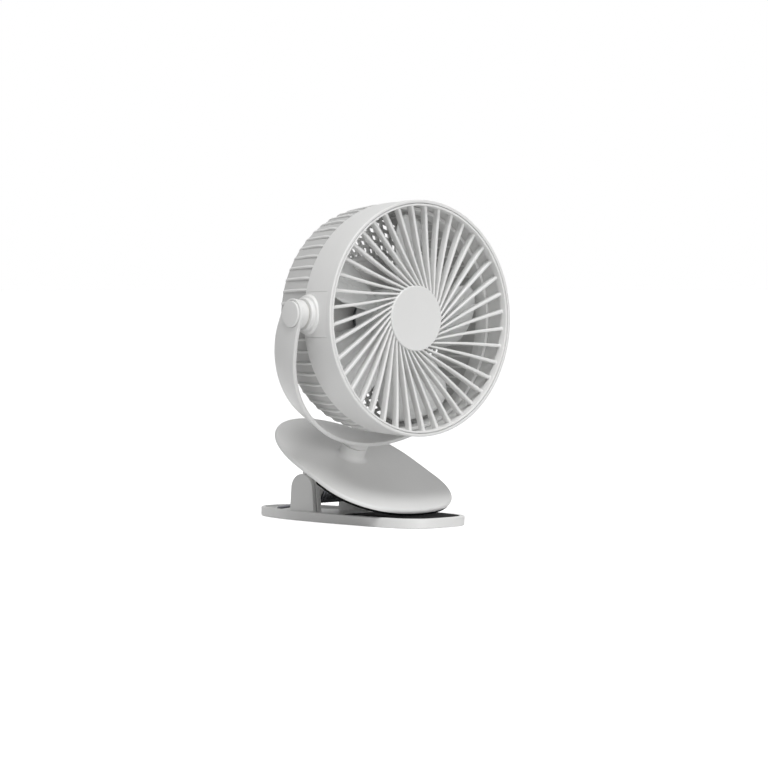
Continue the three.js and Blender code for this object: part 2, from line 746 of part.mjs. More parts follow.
function rearHousing() {
  const flangeFront = podSeat.front + gap + pod.flangeWidth;
  const shell = turned(
    [
      [pod.front, motor.radius + gap],
      [pod.front, pod.radius - pod.edge],
      [pod.front - pod.edge, pod.radius],
      [flangeFront, pod.radius],
      [flangeFront, pod.radius + pod.flange],
      [podSeat.front + gap, pod.radius + pod.flange],
      [podSeat.front + gap, pod.radius],
      [pod.rear, pod.radius],
      [pod.rear, podInner],
      [pod.front - pod.wall, podInner],
      [pod.front - pod.wall, motor.radius + gap],
    ],
    "x",
    pod.facets,
  );
  const posts = screwPlaces.map(([y, z]) => {
    return rod("x", pod.rear, pod.front - 1, coverScrew.post, smallRoundness, [0, y, z]);
  });
  const cradles = Object.values(sides).map((side) =>
    block(
      [pod.front - 1, boardRear],
      [side * cradle.inner, side * cradle.outer],
      [-pod.radius, battery.height - cradle.belowCellTop],
    ).intersect(rod("x", pod.rear, pod.front, pod.radius - 1, pod.facets)),
  );
  const cellAt = [cellAlong, 0, battery.height];
  const cellSpace = rod("y", -pod.radius, pod.radius, battery.radius + gap, roundness, cellAt);
  const slotHeight = [board.top - board.thickness - gap, board.top + gap];
  const slotWidth = board.halfWidth + gap;
  const boardSlot = block([boardFront + gap, pod.rear], [-slotWidth, slotWidth], slotHeight);
  const pilots = screwPlaces.map(([y, z]) => {
    const end = pod.rear + coverScrew.length;
    return rod("x", pod.rear - 1, end, coverScrew.radius + gap, smallRoundness, [0, y, z]);
  });
  const ribs = join(...cradles);
  return cut(join(shell, ...posts, cut(ribs, cellSpace)), boardSlot, ...pilots);
}

function rearCover() {
  const disc = turned(
    [
      [coverInner + cover.spigotDepth, podInner - gap - cover.spigotWidth],
      [coverInner + cover.spigotDepth, podInner - gap],
      [coverInner, podInner - gap],
      [coverInner, pod.radius],
      [coverInner - 1, pod.radius],
      [coverOuter + 0.5, pod.radius - cover.edge],
      [coverOuter, 0.7 * pod.radius],
      [coverOuter, 0],
      [coverInner, 0],
      [coverInner, podInner - gap - cover.spigotWidth],
    ].reverse(),
    "x",
    pod.facets,
  );
  const through = [coverOuter - 1, coverInner + 1];
  const postSpace = screwPlaces.map(([y, z]) => {
    const end = pod.rear + cover.spigotDepth + 1;
    return rod("x", coverInner, end, coverScrew.post + gap, smallRoundness, [0, y, z]);
  });
  const holes = screwPlaces.flatMap(([y, z]) => [
    rod("x", ...through, coverScrew.radius + gap, smallRoundness, [0, y, z]),
    rod("x", coverOuter - 1, screwSeat, coverScrew.headRadius + gap, smallRoundness, [0, y, z]),
  ]);
  return cut(
    disc,
    block(through, socketSlot.y, socketSlot.z),
    rod("x", ...through, button.radius + gap, roundness, [0, 0, button.height]),
    rod("x", ...through, lens.radius + gap, smallRoundness, [0, lens.across, button.height]),
    ...postSpace,
    ...holes,
  );
}

function chargingSocket() {
  const rear = coverOuter + gap;
  const bottom = board.top + gap;
  const half = socket.width / 2;
  const wall = socket.wall;
  const shell = block([rear, rear + socket.length], [-half, half], [bottom, bottom + socket.height]);
  const mouth = block(
    [rear - 1, rear + socket.depth],
    [wall - half, half - wall],
    [bottom + wall, bottom + socket.height - wall],
  );
  const tongueHeight = bottom + socket.height / 2;
  const tongue = block(
    [rear + 0.6, rear + socket.depth + 0.5],
    [-0.34 * socket.width, 0.34 * socket.width],
    [tongueHeight - 0.35, tongueHeight + 0.35],
  );
  return cut(shell, mouth).add(tongue);
}

const switchTop = board.top - board.thickness - gap;
const switchAlong = coverInner + gap + button.flangeThickness + button.travel + 0.1;

function pushSwitch() {
  const half = tactSwitch.size / 2;
  const bodyRear = switchAlong + tactSwitch.plunger;
  const bodyLength = [bodyRear, bodyRear + tactSwitch.length];
  const body = block(bodyLength, [-half, half], [switchTop - tactSwitch.size, switchTop]);
  const at = [0, 0, switchTop - half];
  return body.add(rod("x", switchAlong, bodyRear + 1, tactSwitch.plungerRadius, smallRoundness, at));
}

function powerButton() {
  const flangeRear = coverInner + gap;
  const rear = coverOuter - button.proud;
  const section = [
    [flangeRear + button.flangeThickness, 0],
    [flangeRear + button.flangeThickness, button.radius + button.flange],
    [flangeRear, button.radius + button.flange],
    [flangeRear, button.radius],
    [rear + 0.5, button.radius],
    [rear, button.radius - 0.6],
    [rear + 0.25, 0],
  ];
  return turned(section, "x", roundness, [0, 0, button.height]);
}

function indicatorLens() {
  const flangeRear = coverInner + gap;
  const section = [
    [flangeRear + 0.6, 0],
    [flangeRear + 0.6, lens.radius + lens.flange],
    [flangeRear, lens.radius + lens.flange],
    [flangeRear, lens.radius],
    [coverOuter, lens.radius],
    [coverOuter, 0],
  ];
  return turned(section, "x", smallRoundness, [0, lens.across, button.height]);
}

function motorCan() {
  const { rear, front, radius, edge } = motor;
  const bossFront = front + motor.bossLength;
  return turned(
    [
      [rear, 0],
      [rear, radius - edge],
      [rear + edge, radius],
      [front - edge, radius],
      [front, radius - edge],
      [front, motor.bossRadius],
      [bossFront, motor.bossRadius],
      [bossFront, shaft.radius + gap],
      [front - motor.bore, shaft.radius + gap],
      [front - motor.bore, 0],
    ],
    "x",
  );
}

// ---- Impeller ----

// How a blade's chord, its slant and its hollow change from the hub to the tip.
const bladeStations = [
  { radius: hub.radius - 0.8, chord: 23, slant: 46, hollow: 2.4 },
  { radius: 27, chord: 30, slant: 41, hollow: 3 },
  { radius: 38, chord: 39, slant: 35, hollow: 3.6 },
  { radius: 50, chord: 46, slant: 30, hollow: 3.8 },
  { radius: 60, chord: 46, slant: 27, hollow: 3.4 },
  { radius: 65.5, chord: 38, slant: 26, hollow: 2.6 },
  { radius: blades.tip, chord: 27, slant: 26, hollow: 1.6 },
];

function blade(index) {
  const start = radians(blades.phase + (360 / blades.count) * index);
  const loops = bladeStations.map(({ radius, chord, slant, hollow }) => {
    const line = (face) =>
      [-0.5, -0.25, 0, 0.25, 0.5].map((place) => {
        const lift = hollow * (1 - 4 * place * place) + (face * blades.thickness) / 2;
        const around = place * chord * Math.cos(radians(slant)) - lift * Math.sin(radians(slant));
        const along = place * chord * Math.sin(radians(slant)) + lift * Math.cos(radians(slant));
        return onHead(blades.middle + along, radius, start + around / radius);
      });
    return [...line(1), ...line(-1).reverse()];
  });
  return lofted(loops);
}

function impeller() {
  const bore = shaft.radius + gap;
  const core = turned(
    [
      [hub.front, bore],
      [hub.front, hubNose.flatRadius],
      [hub.front - hubNose.shoulderDepth, hubNose.shoulderRadius],
      [hub.front - hubNose.depth, hub.radius],
      [hub.rear, hub.radius],
      [hub.rear, hub.radius - hub.wall],
      [hub.web, hub.radius - hub.wall],
      [hub.web, hub.bossRadius],
      [hub.bossRear, hub.bossRadius],
      [hub.bossRear, bore],
    ],
    "x",
  );
  return join(core, ...Array.from({ length: blades.count }, (_, index) => blade(index)));
}

// ---- The scene ----

const fan = new THREE.Group();
const jawGroup = new THREE.Group();
const yokeGroup = new THREE.Group();
const headGroup = new THREE.Group();
jawGroup.position.set(pin.x, 0, pin.z);
jawGroup.rotation.y = radians(jawTilt);
yokeGroup.position.set(neck.at, 0, plate.top + headHeight);
yokeGroup.rotation.z = -radians(swivel);
headGroup.rotation.y = -radians(headTilt);
fan.add(jawGroup);
jawGroup.add(yokeGroup);
yokeGroup.add(headGroup);

add(fan, "lower_jaw", lowerJaw(), whitePlastic);
add(fan, "lower_jaw_pad", lowerPad(), blackRubber);
const pinEnd = pinHoleEnd - gap;
add(fan, "hinge_pin", rod("y", -pinEnd, pinEnd, pin.radius, smallRoundness, [pin.x, 0, pin.z]), brightSteel);
add(fan, "torsion_spring", torsionSpring(), springSteel);
console.log("least gap between the spring's turns: " + springGap().toFixed(3) + " mm");

add(jawGroup, "upper_jaw", upperJaw(), whitePlastic);
add(jawGroup, "upper_jaw_pad", upperPad(), blackRubber);
add(jawGroup, "neck_cover", neckCover(), whitePlastic);

add(yokeGroup, "yoke", yokeBody(), whitePlastic);
const washerTop = -spigotEnd - gap;
const washerBottom = washerTop - swivelWasher.thickness;
add(
  yokeGroup,
  "swivel_washer",
  tube("z", washerBottom, washerTop, swivelScrew.radius + gap, swivelWasher.radius, roundness),
  brightSteel,
);
add(yokeGroup, "swivel_screw", headedScrew("z", washerBottom - gap, 1, swivelScrew), brightSteel);

const ring = bandRing();
for (const [label, side] of Object.entries(sides)) {
  add(yokeGroup, "pivot_cap_" + label, pivotCover(side), whitePlastic);
  add(headGroup, "pivot_boss_" + label, bossPiece(side, ring), whitePlastic);
  const screw = { ...pivotScrew, length: pivotScrew.seat + gap - pivotScrew.tip };
  const screwUnderHead = side * (pivotScrew.seat + gap);
  add(headGroup, "pivot_screw_" + label, headedScrew("y", screwUnderHead, -side, screw), brightSteel);
  const washerInner = pivotBoss.end + gap;
  const washerFaces = [side * washerInner, side * (washerInner + washer.thickness)];
  add(
    headGroup,
    "friction_washer_" + label,
    tube("y", ...washerFaces, pivotScrew.radius + gap, washer.radius),
    innerPlastic,
  );
}
add(headGroup, "drum_band", cut(ring, panelBlock(-1, gap), panelBlock(1, gap)), whitePlastic);
add(headGroup, "front_grille", frontGrille(), whitePlastic);
add(headGroup, "front_cap", frontCover(), whitePlastic);
add(headGroup, "rear_cage", rearCage(), whitePlastic);
add(headGroup, "rear_housing", rearHousing(), whitePlastic);
add(headGroup, "rear_cover", rearCover(), whitePlastic);
screwPlaces.forEach(([y, z], index) => {
  const screw = headedScrew("x", screwSeat - gap, 1, coverScrew, smallRoundness, [0, y, z]);
  add(headGroup, "cover_screw_" + (index + 1), screw, brightSteel);
});
const halfCell = battery.length / 2;
add(
  headGroup,
  "battery_cell",
  rod("y", -halfCell, halfCell, battery.radius, roundness, [cellAlong, 0, battery.height]),
  cellWrap,
);
const boardHeight = [board.top - board.thickness, board.top];
add(
  headGroup,
  "circuit_board",
  block([boardRear, boardFront], [-board.halfWidth, board.halfWidth], boardHeight),
  boardGreen,
);
add(headGroup, "usb_socket", chargingSocket(), brightSteel);
add(headGroup, "push_switch", pushSwitch(), blackRubber);
add(headGroup, "power_button", powerButton(), whitePlastic);
add(headGroup, "indicator_lens", indicatorLens(), frostedLens);
add(headGroup, "motor_can", motorCan(), brightSteel);
add(headGroup, "motor_shaft", rod("x", shaft.rear, shaft.front, shaft.radius, smallRoundness), brightSteel);
add(headGroup, "impeller", impeller(), bladePlastic);

export default fan;
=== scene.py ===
# %% [markdown]
# # A clip-on fan
#
# This lesson dresses a finished set of fan parts for a product picture. The parts come in as a
# fixed frame: every size and every place is already decided, and the lesson only adds finer
# surfaces, finishes, light and a camera. The fan is almost all one white plastic, so the picture
# lives on form: thin swirled fins, a ribbed cage and soft edges that catch the light.

# %% The frame
import json
from math import asin, atan2, copysign, cos, degrees, hypot, pi, radians, sin, sqrt, tan
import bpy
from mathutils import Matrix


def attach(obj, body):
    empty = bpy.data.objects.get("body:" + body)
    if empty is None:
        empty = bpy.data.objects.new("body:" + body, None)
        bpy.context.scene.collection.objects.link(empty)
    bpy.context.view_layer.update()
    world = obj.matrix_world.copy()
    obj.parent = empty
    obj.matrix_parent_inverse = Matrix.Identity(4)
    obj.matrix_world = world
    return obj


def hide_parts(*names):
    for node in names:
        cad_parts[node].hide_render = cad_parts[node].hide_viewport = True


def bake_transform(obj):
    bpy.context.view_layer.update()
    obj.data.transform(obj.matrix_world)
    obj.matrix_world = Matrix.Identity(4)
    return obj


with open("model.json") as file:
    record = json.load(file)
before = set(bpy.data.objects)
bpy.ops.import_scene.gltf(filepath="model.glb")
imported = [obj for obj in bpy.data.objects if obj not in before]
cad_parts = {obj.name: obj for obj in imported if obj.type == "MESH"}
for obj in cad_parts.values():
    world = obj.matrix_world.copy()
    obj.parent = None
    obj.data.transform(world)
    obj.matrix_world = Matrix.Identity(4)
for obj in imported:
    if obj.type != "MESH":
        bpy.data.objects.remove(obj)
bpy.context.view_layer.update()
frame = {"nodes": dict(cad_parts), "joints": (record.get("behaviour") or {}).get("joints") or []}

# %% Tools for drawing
from types import SimpleNamespace as Sizes

import bmesh
import bpy
from mathutils import Matrix, Vector

# %% [markdown]
# ## Where things turn
#
# The clip opens on a pin, the yoke swivels on the clip's neck, the head tilts in the yoke and the
# blades spin in the head. The frame gives the axis of each. Four coordinate systems follow from
# them, so that each piece is drawn square to itself in millimetres and one matrix lays it in its
# tilted place.

# %% Four coordinate systems
MM = 0.001
joints = {joint["name"]: joint for joint in frame["joints"]}


def system(origin, x, y, z):
    turn = Matrix((x, y, z)).transposed().to_4x4()
    return Matrix.Translation(origin) @ turn @ Matrix.Scale(MM, 4)


pin_at = Vector(joints["clip_open"]["pos_m"])
head_at = Vector(joints["head_tilt"]["pos_m"])
neck_axis = Vector(joints["yoke_swivel"]["axis"]).normalized()
tilt_axis = Vector(joints["head_tilt"]["axis"]).normalized()
spin_axis = Vector(joints["fan_spin"]["axis"]).normalized()
sideways = Vector((0, 1, 0))
in_base = Matrix.Scale(MM, 4)
in_jaw = system(pin_at, sideways.cross(neck_axis), sideways, neck_axis)
in_yoke = system(head_at, tilt_axis.cross(neck_axis), tilt_axis, neck_axis)
in_head = system(head_at, spin_axis, tilt_axis, spin_axis.cross(tilt_axis))
places = dict(lower_clip=in_base, upper_clip=in_jaw, yoke=in_yoke)
places.update(head=in_head, impeller=in_head, button=in_head)
print("centre of the head, mm:", [round(v / MM, 2) for v in head_at])

# %% [markdown]
# ## Colour and finish
#
# A colour is written as a hex value, and one function turns it to the linear values that light is
# worked out in. A finish is a small tree of nodes, and another function adds a node with its
# settings and links. What is the same all over a surface sits on the shader's own sockets.

# %% Two small functions for finishes
def linear(hex_code):
    parts = [int(hex_code[i : i + 2], 16) / 255 for i in (1, 3, 5)]
    return [p / 12.92 if p <= 0.04045 else ((p + 0.055) / 1.055) ** 2.4 for p in parts] + [1]


def add_node(tree, kind, links=None, values=None, **settings):
    node = tree.nodes.new(kind)
    for name, value in settings.items():
        setattr(node, name, value)
    for socket, value in (values or {}).items():
        node.inputs[socket].default_value = value
    for socket, source in (links or {}).items():
        tree.links.new(source, node.inputs[socket])
    return node


# %% [markdown]
# ## Moulded white ABS
#
# The casings of small fans are injection-moulded ABS. The mould is spark-eroded, which leaves a
# fine, even grain about a tenth of a millimetre across, and the eye sees a soft, wide highlight
# instead of a mirror. Two patterns give that: a grain that bends the surface a little, drawn three
# times coarser than real so that it still shows, and a slow cloudiness of roughness and tone, a
# few centimetres wide. The refractive index of ABS is 1.54.

# %% Patterns, and a function for moulded plastics
CLOUD_WIDTH = 0.035
GRAIN = 0.00035  # three times the real spark-eroded grain


def new_material(name):
    material = bpy.data.materials.new(name)
    material.use_nodes = True
    return material, material.node_tree, material.node_tree.nodes["Principled BSDF"]


def noise(tree, width, detail, roughness):
    """A random pattern whose patches are about this many metres wide."""
    place = add_node(tree, "ShaderNodeTexCoord").outputs["Object"]
    values = {"Scale": 1 / width, "Detail": detail, "Roughness": roughness}
    return add_node(tree, "ShaderNodeTexNoise", {"Vector": place}, values).outputs["Fac"]


def patterned(tree, cloud, tones, shine, relief, bump):
    """A cloud sets the tone and the roughness, and a relief bends the surface."""
    ends = {"A": linear(tones[0]), "B": linear(tones[1])}
    tone = add_node(tree, "ShaderNodeMix", {"Factor": cloud}, ends, data_type="RGBA")
    rough = add_node(tree, "ShaderNodeMapRange", {"Value": cloud}, shine)
    bent = add_node(tree, "ShaderNodeBump", {"Height": relief}, bump)
    shader = tree.nodes["Principled BSDF"]
    tree.links.new(tone.outputs["Result"], shader.inputs["Base Color"])
    tree.links.new(rough.outputs["Result"], shader.inputs["Roughness"])
    tree.links.new(bent.outputs["Normal"], shader.inputs["Normal"])


def moulded_plastic(name, hex_code, darker, roughness, grain, grain_depth, ior=1.54):
    material, tree, shader = new_material(name)
    shader.inputs["IOR"].default_value = ior
    cloud = noise(tree, CLOUD_WIDTH, 3, 0.5)
    shine = {"From Min": 0.3, "From Max": 0.7, "To Min": roughness - 0.05, "To Max": roughness + 0.05}
    bump = {"Strength": 0.35, "Distance": grain_depth}
    patterned(tree, cloud, (hex_code, darker), shine, noise(tree, grain, 2, 0.6), bump)
    return material


white_abs = moulded_plastic("moulded white ABS", "#E9E9E8", "#E4E4E3", 0.46, GRAIN, 0.00002)
cage_abs = moulded_plastic("moulded white ABS, ribbed parts", "#ECECEB", "#E7E7E6", 0.44, GRAIN, 0.00002)
# A greyer copy of the white plastic for the cage's wall between the ribs: painted shade, for the shade
# the ribs cast on it.
painted_shade_wall_abs = moulded_plastic("moulded white ABS, painted shade between ribs", "#CDCDCC", "#C6C6C5", 0.5, GRAIN, 0.00002)
trim_abs = moulded_plastic("satin white ABS trim", "#E8E8E7", "#E3E3E2", 0.40, GRAIN, 0.000012)
print("plastics:", white_abs.name, "/", cage_abs.name, "/", painted_shade_wall_abs.name, "/", trim_abs.name)

# %% [markdown]
# ## The other plastics
#
# The blades are the same family of plastic but from a polished mould, so their grain is shallow
# and their roughness low, and being thin they let a little light in under the surface. The
# washers are natural nylon, duller and a little warmer. The window of the charge light is frosted
# acrylic. The two grip pads are soft black rubber: almost no shine, and a coarse cast texture.

# %% Blades, nylon, window and rubber
blade_abs = moulded_plastic("polished white ABS blades", "#F0F1F0", "#EAEBEA", 0.28, GRAIN, 0.000006)
blade_shader = blade_abs.node_tree.nodes["Principled BSDF"]
blade_shader.inputs["Subsurface Weight"].default_value = 0.35
blade_shader.inputs["Subsurface Radius"].default_value = (1, 1, 0.95)
blade_shader.inputs["Subsurface Scale"].default_value = 0.003
nylon = moulded_plastic("natural nylon", "#D9D8D2", "#D2D1CA", 0.52, GRAIN, 0.00001, ior=1.53)
window = moulded_plastic("frosted window plastic", "#F4F4F0", "#EDEDE8", 0.3, GRAIN, 0.000008, ior=1.49)
rubber = moulded_plastic("moulded black rubber", "#121213", "#0C0C0D", 0.82, 0.0007, 0.00004, ior=1.5)
rubber.node_tree.nodes["Principled BSDF"].inputs["Specular IOR Level"].default_value = 0.08
switch_body = moulded_plastic("black switch nylon", "#202022", "#1A1A1B", 0.55, GRAIN, 0.00001, ior=1.53)

# %% [markdown]
# ## Metals
#
# The spring is wound from black-phosphated wire, a dark, slightly oily steel. Its colour here is
# painted lighter than that: painted light, because the spring sits in shade between the ears. The
# screws, the motor's can and the socket are zinc-plated steel, much brighter, with a fine cloudy
# plating. A metal's colour is its reflection, so it sits in the base colour.

# %% A function for plated and drawn steel
def steel(name, hex_code, darker, roughness, grain):
    material, tree, shader = new_material(name)
    shader.inputs["Metallic"].default_value = 1
    plating = noise(tree, grain, 4, 0.65)
    shine = {"To Min": roughness - 0.1, "To Max": roughness + 0.1}
    bump = {"Strength": 0.2, "Distance": 0.00001}
    patterned(tree, plating, (hex_code, darker), shine, plating, bump)
    return material


# The wire is painted lighter than black phosphate: painted light for a spring that sits in shade.
lightened_spring_wire = steel("black-phosphated spring wire", "#8C8D92", "#6C6D72", 0.38, 0.0012)
zinc = steel("zinc-plated steel", "#BFC1C4", "#A9ABAF", 0.34, 0.0015)

# %% [markdown]
# ## Board and cell
#
# The circuit board and the cell are hidden in the closed pod, but both get their own finish: green
# solder mask and blue shrink wrap. The table near the end says which of the frame's nodes each
# finish goes on.

# %% Board and cell
solder_mask = moulded_plastic("green solder mask", "#1F5A3A", "#184A2F", 0.42, 0.0006, 0.00001, ior=1.55)
shrink_wrap = moulded_plastic("blue shrink wrap", "#2F6F9F", "#296391", 0.35, 0.0009, 0.00001, ior=1.5)

# %% [markdown]
# ## Making shapes
#
# Most of this fan is drawn as sections: a half section turned on a lathe, or a section carried
# along a path. `rounded` puts an arc at each corner of an outline, which keeps a moulded edge from
# looking cut. `lofted` joins loops of points into one skin. `turned` spins an outline about the x
# axis. `Sizes` only gives the measures of a part their names.

# %% Rounding the corners of an outline
def spread(first, last, steps):
    """Even values from the first to the last."""
    return [first + (last - first) * k / steps for k in range(steps + 1)]


def rounded(corners, steps=5):
    points = []
    for i, (x, y, radius) in enumerate(corners):
        here = Vector((x, y))
        to_last = Vector(corners[i - 1][:2]) - here
        to_next = Vector(corners[(i + 1) % len(corners)][:2]) - here
        if radius <= 0:
            points.append(here)
            continue
        half = to_last.angle(to_next) / 2
        reach = min(radius / tan(half), 0.49 * to_last.length, 0.49 * to_next.length)
        start = here + to_last.normalized() * reach
        middle = here + (to_last.normalized() + to_next.normalized()).normalized() * reach / cos(half)
        first = atan2(*(start - middle).yx)
        end = here + to_next.normalized() * reach
        turn = (atan2(*(end - middle).yx) - first + pi) % (2 * pi) - pi
        size = (start - middle).length
        for angle in spread(first, first + turn, steps):
            points.append(middle + size * Vector((cos(angle), sin(angle))))
    return [tuple(point) for point in points]


def rectangle(left, right, low, high, radius, steps):
    corners = ((left, low), (right, low), (right, high), (left, high))
    return rounded([(x, y, radius) for x, y in corners], steps)


def rod(from_, to, radius, from_edge=0, to_edge=0, steps=5):
    """The half section of a round solid along x, with its two rims rounded."""
    return rounded([(from_, 0, 0), (from_, radius, from_edge), (to, radius, to_edge), (to, 0, 0)], steps)


# %% Joining loops into a skin
def lofted(loops, ring=False):
    count = len(loops[0])
    corners = [tuple(point) for loop in loops for point in loop]
    faces = []
    for i in range(len(loops) if ring else len(loops) - 1):
        here, there = i * count, ((i + 1) % len(loops)) * count
        for j in range(count):
            k = (j + 1) % count
            faces.append((here + j, here + k, there + k, there + j))
    if not ring:
        last = (len(loops) - 1) * count
        faces.append(tuple(range(count)))
        faces.append(tuple(last + j for j in reversed(range(count))))
    return corners, faces


def block(low, high):
    """A plain box between two opposite corners."""
    (left, near, bottom), (right, far, top) = low, high
    outline = ((left, near), (right, near), (right, far), (left, far))
    return lofted([[(x, y, z) for x, y in outline] for z in (bottom, top)])


# %% Moving and turning
def moved(shape, matrix):
    corners, faces = shape
    return [tuple(matrix @ Vector(corner)) for corner in corners], faces


def about_x(along, radius, angle):
    return along, radius * cos(angle), radius * sin(angle)


def spun(outline, angles):
    """A loop at each angle about the x axis, from an outline of (along, radius) points."""
    return [[about_x(along, radius, angle) for along, radius in outline] for angle in angles]


def turned(outline, segments, place=Matrix()):
    loops = spun(outline, [2 * pi * i / segments for i in range(segments)])
    return moved(lofted(loops, ring=True), place)


def peg(from_, to, radius, place=Matrix(), segments=48):
    """A plain round solid along x, for a boss or to cut a hole with."""
    return turned(rod(from_, to, radius), segments, place)


def at(y, z):
    return Matrix.Translation((0, y, z))


def headings(line):
    """The direction of a line of points at each of them."""
    ends = [line[0], *line, line[-1]]
    return [(after - before).normalized() for before, after in zip(ends, ends[2:])]


# Turn the x axis into the y or the z axis, or into y on either side.
to_y = Matrix(((0, 0, 1), (1, 0, 0), (0, 1, 0))).to_4x4()
to_z = Matrix(((0, 1, 0), (0, 0, 1), (1, 0, 0))).to_4x4()
to_side = {1: to_y, -1: Matrix.Scale(-1, 4, (0, 1, 0)) @ to_y}
sides = (-1, 1)


def on_both_sides(outline, segments=48):
    return [turned(outline, segments, to_side[side]) for side in sides]


# %% [markdown]
# ## From shapes to pieces
#
# A piece is one mesh object: it rides on the body it is fixed to, stands for the frame node it
# replaces, and is painted with one material. Faces that turn by less than 35 degrees are shaded
# smooth. Where forms grow together, such as a plate and its neck, a boolean makes them one skin,
# and another cuts the holes.

# %% Building a mesh
def meshed(name, shapes, place):
    mesh = bpy.data.meshes.new(name)
    corners, faces = [], []
    for shape in shapes:
        faces += [tuple(len(corners) + i for i in face) for face in shape[1]]
        corners += [place @ Vector(corner) for corner in shape[0]]
    mesh.from_pydata(corners, [], faces)
    grid = bmesh.new()
    grid.from_mesh(mesh)
    bmesh.ops.remove_doubles(grid, verts=grid.verts, dist=1e-7)
    bmesh.ops.dissolve_degenerate(grid, edges=grid.edges, dist=1e-8)
    bmesh.ops.recalc_face_normals(grid, faces=grid.faces)
    grid.to_mesh(mesh)
    grid.free()
    made = bpy.data.objects.new(name, mesh)
    bpy.context.scene.collection.objects.link(made)
    return made


def combined(base, other, operation):
    """Joins another mesh object to this one, or cuts it out, and removes the other."""
    modifier = base.modifiers.new("combine", "BOOLEAN")
    modifier.object = other
    modifier.operation = operation
    modifier.solver = "EXACT"
    graph = bpy.context.evaluated_depsgraph_get()
    result = bpy.data.meshes.new_from_object(base.evaluated_get(graph))
    base.modifiers.clear()
    base.data = result
    bpy.data.objects.remove(other)


def shaped(base, operation, place, shapes):
    """Joins shapes to a mesh object one by one, or cuts them out of it."""
    for shape in shapes:
        combined(base, meshed("tool", [shape], place), operation)


# %% Making a finished piece
SMOOTH_BELOW = radians(35)


def finished(made, body, material, node):
    count = len(made.data.polygons)
    made.data.materials.clear()
    made.data.materials.append(material)
    made.data.polygons.foreach_set("use_smooth", [True] * count)
    made.data.polygons.foreach_set("material_index", [0] * count)
    made.data.set_sharp_from_angle(angle=SMOOTH_BELOW)
    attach(made, body)
    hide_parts(node)
    print(f"{made.name}: {count} faces on {body}")


def piece(name, shapes, body, material, join=(), cut=()):
    """A piece from its shapes, with others joined to it or cut from it."""
    place = places[body]
    made = meshed(name + "_surface", shapes, place)
    shaped(made, "UNION", place, join)
    shaped(made, "DIFFERENCE", place, cut)
    finished(made, body, material, name)


# %% [markdown]
# ## The egg outline
#
# Both jaws are egg-shaped: one superellipse towards the nose and another towards the tail, which
# meet where the jaw is widest. A superellipse is an ellipse whose power isn't two, so one number
# makes it rounder or squarer. A stack of eggs with the right insets makes a rounded edge.

# %% Egg outlines, stacked
EGG_STEPS = 48  # points in each quarter of an egg


def egg(shape, inset):
    points = []
    for i in range(4 * EGG_STEPS):
        angle = 2 * pi * (i + 0.5) / (4 * EGG_STEPS)
        along, aside = cos(angle), sin(angle)
        end = "nose" if along > 0 else "tail"
        power = 2 / shape[end + "_power"]
        reach = shape[end] - inset
        middle = shape["widest"] + (shape["straight"] if along > 0 else 0)
        x = middle + copysign(abs(along) ** power * reach, along)
        y = copysign(abs(aside) ** power * (shape["half_width"] - inset), aside)
        points.append((x, y))
    return points


def egg_half_width(shape, x, inset):
    end = "nose" if x > shape["widest"] else "tail"
    past = x - shape["widest"] - shape["straight"] if end == "nose" else shape["widest"] - x
    power = shape[end + "_power"]
    share = min(max(past, 0) / (shape[end] - inset), 1)
    return (shape["half_width"] - inset) * (1 - share**power) ** (1 / power)


def narrowed(shape, inset):
    """The same egg with its nose and its sides drawn in, and its tail where it was."""
    return dict(shape, half_width=shape["half_width"] - inset, nose=shape["nose"] - inset)


def edge_stack(bottom, top, low_radius, high_radius, steps=5):
    """Heights and insets of a stack with rounded lower and upper edges."""

    def rim_steps(edge, radius):
        angles = spread(0, pi / 2, steps)
        return [(edge + radius * (1 - sin(a)), abs(radius) * (1 - cos(a))) for a in angles]

    return rim_steps(bottom, low_radius)[::-1] + rim_steps(top, -high_radius)


def stacked(outline, stack):
    return lofted([[(x, y, z) for x, y in outline(inset)] for z, inset in stack])


def egg_stack(shape, stack):
    return stacked(lambda inset: egg(shape, inset), stack)


def on_edge(outline, stack, side):
    """A stack that is laid along y instead of z, to either side, for an ear."""
    return lofted([[(x, side * y, z) for x, z in outline(inset)] for y, inset in stack])


# %% [markdown]
# ## The lower jaw
#
# The lower jaw is the foot of the fan. It is a shallow tray with a rounded rim, deeper behind and
# filled by the grip pad in front. Two pairs of ears on it hold the hinge pin: a thin
# outer ear, a slot just wide enough to mould, and a thicker inner one. The rim's top edge catches
# a bright line of light, so its radius matters more than its size suggests.

# %% Lower jaw
foot = dict(widest=39, straight=0, nose=44, tail=122, half_width=30.5, nose_power=3.2, tail_power=2.6)
foot_height, rim, tray_depth, tray_end = 6.4, 2.8, 2, 12
pad_start, pad_depth, pad_corner = 14, 1.4, 5
gap = 0.3  # between parts that fit together
overcut = 2  # how far a cutter reaches past the face that it cuts
pin = Vector((-24.7, 0, 20.5))
pin_radius = 2
pin_hole = pin_radius + gap
pin_place = Matrix.Translation(pin) @ to_y
ear = Sizes(radius=10.2, rear=11.6, front=11.5, floor=foot_height - tray_depth - 1)
ears = ((26, 2.7, 0.5), (22.1, 3.6, 0.3))  # outer face, thickness and edge radius
bore_end = ears[0][0] - 1.3  # the outer ears are blind, so no pin shows from outside


def nose_end(shape, start, corner):
    """The nose end of an egg, cut square at its start, with two rounded corners."""
    bend = start + corner
    kept = [i for i, point in enumerate(egg(shape, 0)) if point[0] > bend + 1]

    def outline(inset):
        points = egg(shape, inset)
        points = sorted((points[i] for i in kept), key=lambda p: atan2(p[1], p[0] - bend))
        radius = corner - inset
        wide = egg_half_width(shape, bend, inset) - radius
        turns = spread(0, pi / 2, 8)
        points += [(bend - radius * sin(t), wide + radius * cos(t)) for t in turns]
        points += [(bend - radius * sin(t), -wide - radius * cos(t)) for t in turns[::-1]]
        return points

    return outline


def ear_outline(inset):
    radius = ear.radius - inset
    arc = [(pin.x + radius * cos(a), pin.z + radius * sin(a)) for a in spread(pi, 0, 32)]
    return [(pin.x - ear.rear + inset, ear.floor), *arc, (pin.x + ear.front - inset, ear.floor)]


